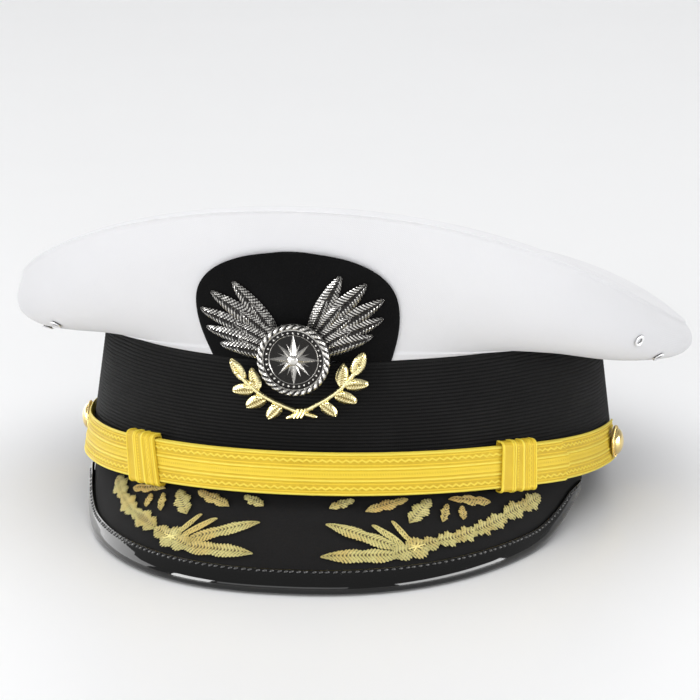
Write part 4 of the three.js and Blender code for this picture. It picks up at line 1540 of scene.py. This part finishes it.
@dataclass
class Embroidery:
    """Raised gold oak leaves on the visor: two chained sprays and loose leaves behind them.

    A leaf's row holds the bearing in degrees and the distance out of its base, the same of its
    tip, its width and its kind of edge. The first chain is the left one.
    """

    visor: VisorForm
    chains: tuple[tuple[LeafSpot, ...], tuple[LeafSpot, ...]] = (
        (
            (47.5, 3.8, 41.2, 11.5, 7.0, Edge.LOBED),
            (41.8, 10.6, 35.2, 16.8, 7.2, Edge.LOBED),
            (36.6, 15.3, 27.4, 21.0, 7.4, Edge.LOBED),
        ),
        (
            (53.0, 6.6, 47.4, 10.8, 6.6, Edge.LOBED),
            (48.6, 9.2, 42.2, 13.2, 6.8, Edge.LOBED),
            (43.2, 13.0, 38.0, 16.6, 6.4, Edge.LOBED),
            (39.6, 15.8, 34.8, 18.4, 6.2, Edge.LOBED),
            (35.9, 17.8, 30.8, 20.4, 6.6, Edge.LOBED),
            (32.0, 20.2, 26.8, 21.8, 6.6, Edge.LOBED),
        ),
    )
    fork: tuple[LeafSpot, ...] = (
        (27.8, 21.1, 17.4, 26.8, 9.0, Edge.LOBED),
        (19.2, 24.4, 5.7, 15.0, 5.6, Edge.WAVY),
        (19.2, 26.6, 5.1, 27.4, 6.2, Edge.WAVY),
        (21.8, 22.8, 18.1, 13.6, 2.0, Edge.PLAIN),
        (20.4, 23.4, 14.3, 15.0, 2.6, Edge.PLAIN),
    )
    loose: tuple[LeafSpot, ...] = (
        (11.2, 3.2, 6.2, 7.6, 4.6, Edge.LOBED),
        (22.0, 3.2, 13.2, 9.0, 5.2, Edge.LOBED),
        (26.7, 3.8, 21.7, 14.2, 6.4, Edge.LOBED),
        (30.4, 4.2, 39.8, 7.2, 4.8, Edge.LOBED),
    )
    warm: tuple[int, ...] = (2, 4)
    crossing: tuple[float, float] = (22.5, 24.0)
    cross_lift: float = 1.15
    cross_stitches: tuple[tuple[float, float], ...] = ((38, 2.9), (-38, 2.3), (0, 3.4))
    layer: float = 0.3
    buds: tuple[LeafSpot, ...] = (
        (33.0, 8.0, 33.0, 13.6, 3.3, Edge.LOBED),
        (30.0, 6.6, 28.5, 14.2, 3.3, Edge.LOBED),
    )

    def spray(self, stance: Stance, hand: int) -> None:
        """Build one chained spray."""
        piece = Workpiece(f"oak_chain_{SIDES[hand]}")
        for order, spot in enumerate(self.chains[max(hand, 0)] + self.fork):
            raised = self.layer * (order % 2)
            ground = lambda a, b, c, raised=raised: self.visor.over(a, b, c + raised)
            Leaf.at(spot, hand).add_to(piece, ground)
        self.cross(piece, hand)
        piece.finished(stance, PALE_BULLION, f"oak_spray_{SIDES[hand]}", 50)

    def cross(self, piece: Workpiece, hand: int) -> None:
        """Add the crossed long stitches over the leaf where the spray forks."""
        bearing, out = self.crossing
        middle = self.visor.over(hand * bearing, out, self.cross_lift)
        along = self.visor.over(hand * (bearing - 3), out + 1.6, self.cross_lift) - middle
        up = self.visor.normal(hand * bearing / self.visor.bearing, 0.5)
        for turn, half in self.cross_stitches:
            ray = Matrix.Rotation(math.radians(turn), 3, up) @ along.normalized()
            piece.bead(middle, ray, up, (half, 0.3, 0.3), 0.9)

    def loose_leaves(self, stance: Stance, hand: int) -> None:
        """Build one side's loose leaves, with the buds beside the last."""
        for index, spot in enumerate(self.loose, 1):
            piece = Workpiece(f"stitched_leaf_{SIDES[hand]}_{index}")
            Leaf.at(spot, hand).add_to(piece, self.visor.over)
            for bud in self.buds if index == len(self.loose) else ():
                Leaf.at(bud, hand).add_to(piece, self.visor.over)
            finish = WARM_BULLION if index in self.warm else PALE_BULLION
            piece.finished(stance, finish, f"oak_leaf_{SIDES[hand]}_{index}", 50)

    def build(self, stance: Stance) -> None:
        """Build both sides."""
        for hand in SIDES:
            self.spray(stance, hand)
            self.loose_leaves(stance, hand)


@dataclass(frozen=True)
class LaceWeave:
    """The lace's face: straight cords, a zigzag chain near each edge and a line of dots.

    Places are shares of the lace's width. A cord's row holds its middle, half width and rise.
    """

    cords: tuple[tuple[float, float, float], ...] = (
        (0.03, 0.035, 0.36), (0.1, 0.016, 0.2), (0.29, 0.016, 0.16), (0.375, 0.027, 0.4),
        (0.43, 0.016, 0.22), (0.465, 0.014, 0.16), (0.535, 0.014, 0.16), (0.57, 0.016, 0.22),
        (0.65, 0.027, 0.4), (0.73, 0.016, 0.16), (0.905, 0.016, 0.2), (0.97, 0.035, 0.36),
    )
    chains: tuple[float, ...] = (0.185, 0.83)
    chain_pitch: float = 2.7
    chain_swing: float = 0.026
    chain_half: float = 0.026
    chain_rise: float = 0.34
    dots: float = 0.5
    dot_pitch: float = 0.9
    dot_rise: float = 0.22
    dot_half: float = 0.02
    ground: float = 0.2
    highest: float = 0.4

    def rise(self, length: float, share: float) -> float:
        """Return how far the lace's face stands up at a length along it and a share across it."""
        total = 0.0
        for middle, half, height in self.cords:
            total = max(total, height * mound(share - middle, half))
        for middle in self.chains:
            phase = (length / self.chain_pitch) % 1
            line = middle + self.chain_swing * (4 * abs(phase - 0.5) - 1)
            total = max(total, self.chain_rise * mound(share - line, self.chain_half))
        knot = swell(2 * math.pi * length / self.dot_pitch)
        return max(total, self.dot_rise * knot * mound(share - self.dots, self.dot_half))


SLIDER_WEAVE = LaceWeave(
    cords=(
        (0.03, 0.03, 0.26), (0.3, 0.02, 0.34), (0.36, 0.02, 0.34), (0.59, 0.03, 0.36), (0.67, 0.012, 0.14),
        (0.73, 0.012, 0.18), (0.83, 0.012, 0.18), (0.91, 0.014, 0.22), (0.965, 0.022, 0.3),
    ),
    chains=(0.78,), chain_pitch=1.5, chain_swing=0.014, chain_half=0.018, chain_rise=0.24,
    dots=0.44, dot_pitch=0.9, dot_rise=0.24,
)


@dataclass
class ChinStrap:
    """The chin strap: two layers of gold lace, held by two sliders."""

    form: StrapForm
    weave: LaceWeave = field(default_factory=LaceWeave)
    across: int = 76
    turned: LaceWeave = SLIDER_WEAVE
    slider_places: tuple[tuple[str, float, float], ...] = (("left", -34.3, 2.9), ("right", 44.2, -1.1))
    tuck: float = 2.4
    slider_front: float = 1.0
    slider_back: float = 0.5
    slider_margin: float = 0.04
    slider_corner: float = 0.8
    front_steps: int = 56
    station: float = 0.42
    edge_drop: float = 0.3
    slider_edge_drop: float = 0.35

    def length_of(self, degrees: float) -> float:
        """Return the lace's length over an angle round the band."""
        return math.radians(degrees) * self.form.band.half_length

    def strip(self, stance: Stance, start: float, end: float, layer: float, pointed: bool, node: str) -> None:
        """Build one layer of lace.

        Args:
            stance: How the cap stands.
            start: Bearing of its first end, in degrees.
            end: Bearing of its other end.
            layer: How far out its inner face lies over the back layer's.
            pointed: Whether the other end runs to a point.
            node: The node that it stands for.
        """
        form, weave, across, under = self.form, self.weave, self.across, 6
        length = abs(self.length_of(end - start))
        stations = round(length / self.station)
        nose = form.point / math.radians(1) / form.band.half_length if pointed else 0.0

        def lay(along: float, round_it: float) -> Spot:
            """Lay the strip: down its face, then back up behind."""
            station = round(round_it * (across + under))
            if station <= across:
                share = mix(0.5 - 0.5 * math.cos(math.pi * station / across), station / across, 0.8)
                rise = weave.rise(along * length, share)
                rounded = self.edge_drop * (1 - held(min(share, 1 - share) / 0.03)) ** 2
                # The relief, each cord's rise, is what the lace paints as highlight and shade
                outward, relief = form.thickness - weave.ground + rise - rounded, rise / weave.highest
            else:
                share = 1 - (station - across) / under
                outward, relief = 0.0, 0.3
            if station == across + under:
                rise = weave.rise(along * length, 0.0)
                share, relief = 0.0, rise / weave.highest
                outward = form.thickness - weave.ground - self.edge_drop + rise
            late = ease(along, 0.965, 1.0)
            bearing = mix(start, end, along) + nose * late * (1 - abs(share - 0.5) * 2)
            return form.at(bearing, share, outward + form.layer_rise(bearing, layer)), relief

        piece = Workpiece(node.replace("chin_strap", "lace"))
        piece.grid(stations, across + under, lay, (length, 30.0))
        piece.finished(stance, Lace(), node, 60)

    def slider(self, stance: Stance, bearing: float, skew: float, node: str) -> None:
        """Build one slider: a loop of lace turned across the strap, a little askew.

        Args:
            stance: How the cap stands.
            bearing: Its middle, in degrees.
            skew: How far its lower edge lies beyond its upper one, in degrees.
            node: The node that it stands for.
        """
        form, weave = self.form, self.turned
        half_height = form.width * (0.5 + self.slider_margin)
        low, high = -GAP, form.front_layer() + form.thickness + GAP
        half = math.degrees(form.slider_length / 2 / form.band.half_length)
        path = self.loop(half_height, low, high, self.slider_corner)
        ribs, inside = 76, 3

        def lay(around: float, over: float) -> Spot:
            """Lay the loop: the lace's face outside, smooth within."""
            a, b, out_a, out_b = path[round(around * (len(path) - 1))]
            wall = self.slider_front if out_b > -0.5 else self.slider_back
            station = round(over * (ribs + inside))
            relief = 0.3
            if station <= ribs:
                share = station / ribs
                rise = weave.rise(a + b, share)
                rounded = self.slider_edge_drop * (1 - held(min(share, 1 - share) / 0.05)) ** 2
                lift, relief = wall - weave.ground + rise - rounded, rise / weave.highest
            else:
                share, lift = 1 - (station - ribs - 1) / (inside - 1), 0.0
            if station == ribs + inside:
                share, lift = 0.0, wall - weave.ground - self.slider_edge_drop + weave.rise(a + b, 0.0)
            place_on = 0.5 + (a + out_a * lift) / form.width
            middle = bearing + skew * a / form.width
            return form.at(middle + mix(-half, half, share), place_on, b + out_b * lift), relief

        piece = Workpiece(node.replace("strap", "lace"))
        piece.grid(len(path) - 1, ribs + inside, lay, (40.0, 13.0))
        piece.finished(stance, Lace(), node, 60)

    def loop(
        self, half: float, low: float, high: float, corner: float
    ) -> list[tuple[float, float, float, float]]:
        """Return a rounded loop in section: places across and outward, with outward directions.

        Args:
            half: Half of its height.
            low: Its inner side.
            high: Its outer side.
            corner: Radius of its corners.

        Returns:
            The places in order, the first one again at the end.
        """
        points = []
        reach = half - corner
        corners = [(reach, low + corner, -90), (reach, high - corner, 0)]
        corners += [(-reach, high - corner, 90), (-reach, low + corner, 180)]
        for middle_a, middle_b, start in corners:
            for step in range(5):
                angle = math.radians(start + 22.5 * step)
                out_a, out_b = math.cos(angle), math.sin(angle)
                points.append((middle_a + corner * out_a, middle_b + corner * out_b, out_a, out_b))
            if start == 0:
                shares = [step / self.front_steps for step in range(1, self.front_steps)]
                points += [(mix(reach, -reach, share), high, 0.0, 1.0) for share in shares]
        return points + points[:1]

    def build(self, stance: Stance) -> None:
        """Build both layers and both sliders."""
        form = self.form
        end = form.button_bearing + form.end_past
        self.strip(stance, -end, form.tip_bearing, form.front_layer(), True, "chin_strap_front")
        self.strip(stance, self.slider_places[0][1] - self.tuck, end, 0.0, False, "chin_strap_back")
        for side, bearing, skew in self.slider_places:
            self.slider(stance, bearing, skew, f"strap_slider_{side}")


@dataclass
class Buttons:
    """The strap's two domed buttons, each on a shank, with a corded rim.

    The edge's rows hold distance in from the rim, height over the button's back and relief.
    """

    form: StrapForm
    radius: float = 5.5
    dome: float = 3.4
    rim: float = 0.8
    shank: float = 1.4
    edge: tuple[Triple, ...] = (
        (0.5, 0, 0.3), (0, 0.3, 0.6), (0, 0.7, 0.8), (0.35, 0.9, 0.9), (0.75, 0.7, 0.1),
    )
    crown_inset: float = 0.9
    dome_steps: int = 12
    cords: int = 40
    cord: Triple = (0.5, 0.22, 0.26)
    cord_inset: float = 0.42
    cord_lean: float = 0.6

    def build(self, stance: Stance) -> None:
        """Build both buttons."""
        under = self.form.standoff + self.form.thickness + 2.5 * GAP
        # Relief, lowest on the shank and in the groove between rim and dome, highest on the dome's top, is
        # painted by the gilt as shade, with a lighter top
        profile = [(0, GAP, 0.2), (self.shank, GAP, 0.2), (self.shank, under, 0.2)]
        profile += [(self.radius - inset, under + up, relief) for inset, up, relief in self.edge]
        crown = self.radius - self.crown_inset
        for step in range(self.dome_steps + 1):
            angle = math.pi / 2 * step / self.dome_steps
            rise = (self.dome - self.rim) * math.sin(angle)
            up = under + self.rim - 0.05 + rise
            profile.append((crown * math.cos(angle), up, 0.5 + 0.5 * math.sin(angle)))
        for hand, side in SIDES.items():
            foot, face = self.form.seat(hand)
            piece = Workpiece(f"domed_button_{side}")
            piece.spun(profile, foot, face, 48)
            right = face.orthogonal().normalized()
            above = face.cross(right)
            for ray in round_rays(above, right, self.cords):
                spot = foot + ray * (self.radius - self.cord_inset) + face * (under + self.rim)
                piece.bead(spot, ray.cross(face) + ray * self.cord_lean, face, self.cord, 0.95)
            piece.finished(stance, BUTTON_GILT, f"button_{side}", 50)


@dataclass
class Vents:
    """The small metal eyelets in the cover's sides, each closed by a plate deep in its bore; plate and bore
    are painted dark as shade.
    """

    cover: CoverForm
    barrel: float = 1.5
    bore: float = 0.9
    flange: float = 2.1
    depth: float = 2.0
    disc: tuple[float, float] = (-1.7, -1.4)
    bearings: tuple[tuple[str, float, float], ...] = (
        ("left_front", -59.0, 0.5),
        ("left_back", -72.0, 0.45),
        ("right_front", 63.5, 0.74),
        ("right_back", 73.0, 0.62),
    )

    def build(self, stance: Stance) -> None:
        """Build the four eyelets."""
        low, bore, flange = 1.3 * GAP, self.bore, self.flange
        # The bore's wall and the closing plate carry low relief, so the nickel paints them dark: painted
        # shade
        ring = [(bore, -self.depth, 0.0), (self.barrel, -self.depth, 0.1), (self.barrel, low, 0.2)]
        ring += [(flange, low, 0.5), (flange - 0.1, low + 0.2, 0.9), (flange - 0.5, low + 0.35, 1.0)]
        ring += [(bore + 0.4, low + 0.3, 0.9), (bore + 0.1, low + 0.1, 0.3), (bore, -self.depth, 0.0)]
        back, front = self.disc
        disc = [(0, back, 0.0), (bore + 0.2, back, 0.0), (bore + 0.2, front, 0.0), (0, front, 0.0)]
        for name, degrees, along in self.bearings:
            bearing = math.radians(degrees)
            foot = self.cover.panel(bearing, along)
            normal = self.cover.panel_normal(bearing, along)
            piece = Workpiece(f"eyelet_{name}")
            piece.spun(ring, foot, normal, 32)
            piece.spun(disc, foot, normal, 16)
            piece.finished(stance, NICKEL, f"vent_eyelet_{name}", 50)


# The studio


class Shows(Enum):
    """What a lamp lights: everything, all but mirrored highlights, or those alone."""

    EVERYWHERE = "everywhere"
    SOFTLY = "softly"
    IN_GLOSS = "in gloss"


# Each row: name, place, size, power and what it shows in
LAMPS = (
    ("top_softbox", (0.0, -0.1, 2.0), (3.2, 2.8), 33, Shows.SOFTLY),
    ("front_softbox", (-0.4, -2.2, 0.6), (2.4, 0.7), 9, Shows.EVERYWHERE),
    ("low_fill", (0.1, -2.6, 0.75), (2.6, 0.5), 19, Shows.SOFTLY),
    ("left_board", (-1.6, -0.3, 0.4), (1.6, 0.8), 3, Shows.SOFTLY),
    ("right_board", (1.7, -0.2, 0.4), (1.6, 0.8), 4, Shows.SOFTLY),
    ("back_softbox", (-0.2, 2.4, 1.6), (3.0, 1.0), 16, Shows.EVERYWHERE),
    ("left_gloss", (-1.2, -0.9, 0.3), (0.66, 0.6), 19, Shows.IN_GLOSS),
    ("left_back_gloss", (-1.3, 0.75, 0.3), (2.2, 0.8), 16, Shows.IN_GLOSS),
    ("right_gloss", (1.345, -0.39, 0.26), (1.6, 0.5), 25, Shows.IN_GLOSS),
)


@dataclass
class Studio:
    """A pale paper sweep, soft lights and the camera at the wanted angle to the cap."""

    azimuth: float = 9.48
    elevation: float = 7.66
    distance: float = 1000.0
    focal_pixels: float = 2883.43
    picture: float = 700.0
    aside: float = -1.31
    above: float = 2.71
    roll: float = 0.48
    aim: float = 30.0
    sensor: float = 36.0
    half_width: float = 5.0
    length: float = 9.0
    front: float = 3.0
    bend: float = 2.2
    bend_radius: float = 1.5
    air: float = 0.34

    def sweep(self) -> None:
        """Build the floor and its curve up to the wall."""
        bm = bmesh.new()
        bmesh.ops.create_grid(bm, x_segments=2, y_segments=60, size=1.0)
        bend, radius = self.bend, self.bend_radius
        for vert in bm.verts:
            across = vert.co.x * self.half_width
            along = (vert.co.y + 1) / 2 * self.length - self.front
            if along < bend:
                vert.co = Vector((across, along, 0))
            elif along < bend + radius * math.pi / 2:
                angle = (along - bend) / radius
                vert.co = Vector((across, bend + radius * math.sin(angle), radius * (1 - math.cos(angle))))
            else:
                vert.co = Vector((across, bend + radius, radius + along - bend - radius * math.pi / 2))
        mesh = bpy.data.meshes.new("paper_sweep")
        bm.to_mesh(mesh)
        bm.free()
        mesh.shade_smooth()
        mesh.materials.append(material_of(Paper()))
        floor = bpy.data.objects.new("paper_sweep", mesh)
        bpy.context.scene.collection.objects.link(floor)

    def lamp(
        self, name: str, spot: Triple, size: tuple[float, float], power: float, shows: Shows
    ) -> None:
        """Add a soft lamp that faces the cap.

        Args:
            name: The lamp's name.
            spot: Where it hangs, in metres.
            size: Its width and height.
            power: Its power in watts.
            shows: What it lights.
        """
        light = bpy.data.lights.new(name, "AREA")
        light.shape = "RECTANGLE"
        light.size, light.size_y = size
        light.energy = power
        lamp = bpy.data.objects.new(name, light)
        lamp.location = spot
        lamp.rotation_euler = (Vector((0, 0, 0.05)) - Vector(spot)).to_track_quat("-Z", "Y").to_euler()
        lamp.visible_camera = False
        lamp.visible_glossy = shows is not Shows.SOFTLY
        lamp.visible_diffuse = shows is not Shows.IN_GLOSS
        bpy.context.scene.collection.objects.link(lamp)

    def lights(self) -> None:
        """Light the paper evenly and the cap from above and both sides."""
        world = bpy.data.worlds.new("studio_air")
        world.use_nodes = True
        background = world.node_tree.nodes["Background"]
        background.inputs["Color"].default_value = (1, 1, 1, 1)
        background.inputs["Strength"].default_value = self.air
        bpy.context.scene.world = world
        for row in LAMPS:
            self.lamp(*row)

    def camera(self, stance: Stance) -> None:
        """Place the camera by the cap's own directions, then with the cap in the row frame."""
        azimuth, elevation = math.radians(self.azimuth), math.radians(self.elevation)
        roll = math.radians(self.roll)
        flat = math.cos(elevation)
        back = place(math.sin(azimuth) * flat, math.cos(azimuth) * flat, math.sin(elevation))
        level = Vector((math.cos(azimuth), math.sin(azimuth), 0))
        rise = back.cross(level)
        right = level * math.cos(roll) + rise * math.sin(roll)
        up = rise * math.cos(roll) - level * math.sin(roll)
        spot = place(0, 0, self.aim) + back * self.distance + right * self.aside + up * self.above
        turn = Matrix((right, up, back)).transposed().to_4x4()
        data = bpy.data.cameras.new("view")
        data.sensor_width = self.sensor
        data.lens = self.focal_pixels / self.picture * self.sensor
        data.clip_start = 0.01
        data.clip_end = 50
        camera = bpy.data.objects.new("view", data)
        camera.matrix_world = Matrix.Translation(stance.matrix() @ spot) @ stance.turn() @ turn
        bpy.context.scene.collection.objects.link(camera)
        bpy.context.scene.camera = camera

    def build(self, stance: Stance) -> None:
        """Build the studio."""
        bpy.context.scene.view_settings.view_transform = "Standard"
        self.camera(stance)
        self.sweep()
        self.lights()


def main() -> None:
    """Build the studio and every piece of the cap in order."""
    logging.basicConfig(level=logging.INFO, format="%(name)s %(message)s")
    stance = Stance.from_record(frame["record"], "band_lower_rim", RIM_POINT)
    band = BandForm()
    cover = CoverForm(band)
    visor = VisorForm(band)
    strap = StrapForm(band)
    ground = BadgeGround(cover)
    assemblies = (
        Studio(),
        Cover(cover),
        HeadBand(band),
        BadgePatch(ground),
        Badge(ground),
        Visor(visor),
        Embroidery(visor),
        ChinStrap(strap),
        Buttons(strap),
        Vents(cover),
    )
    for assembly in assemblies:
        assembly.build(stance)
        LOG.info("built %s", type(assembly).__name__)


if __name__ == "__main__":
    main()
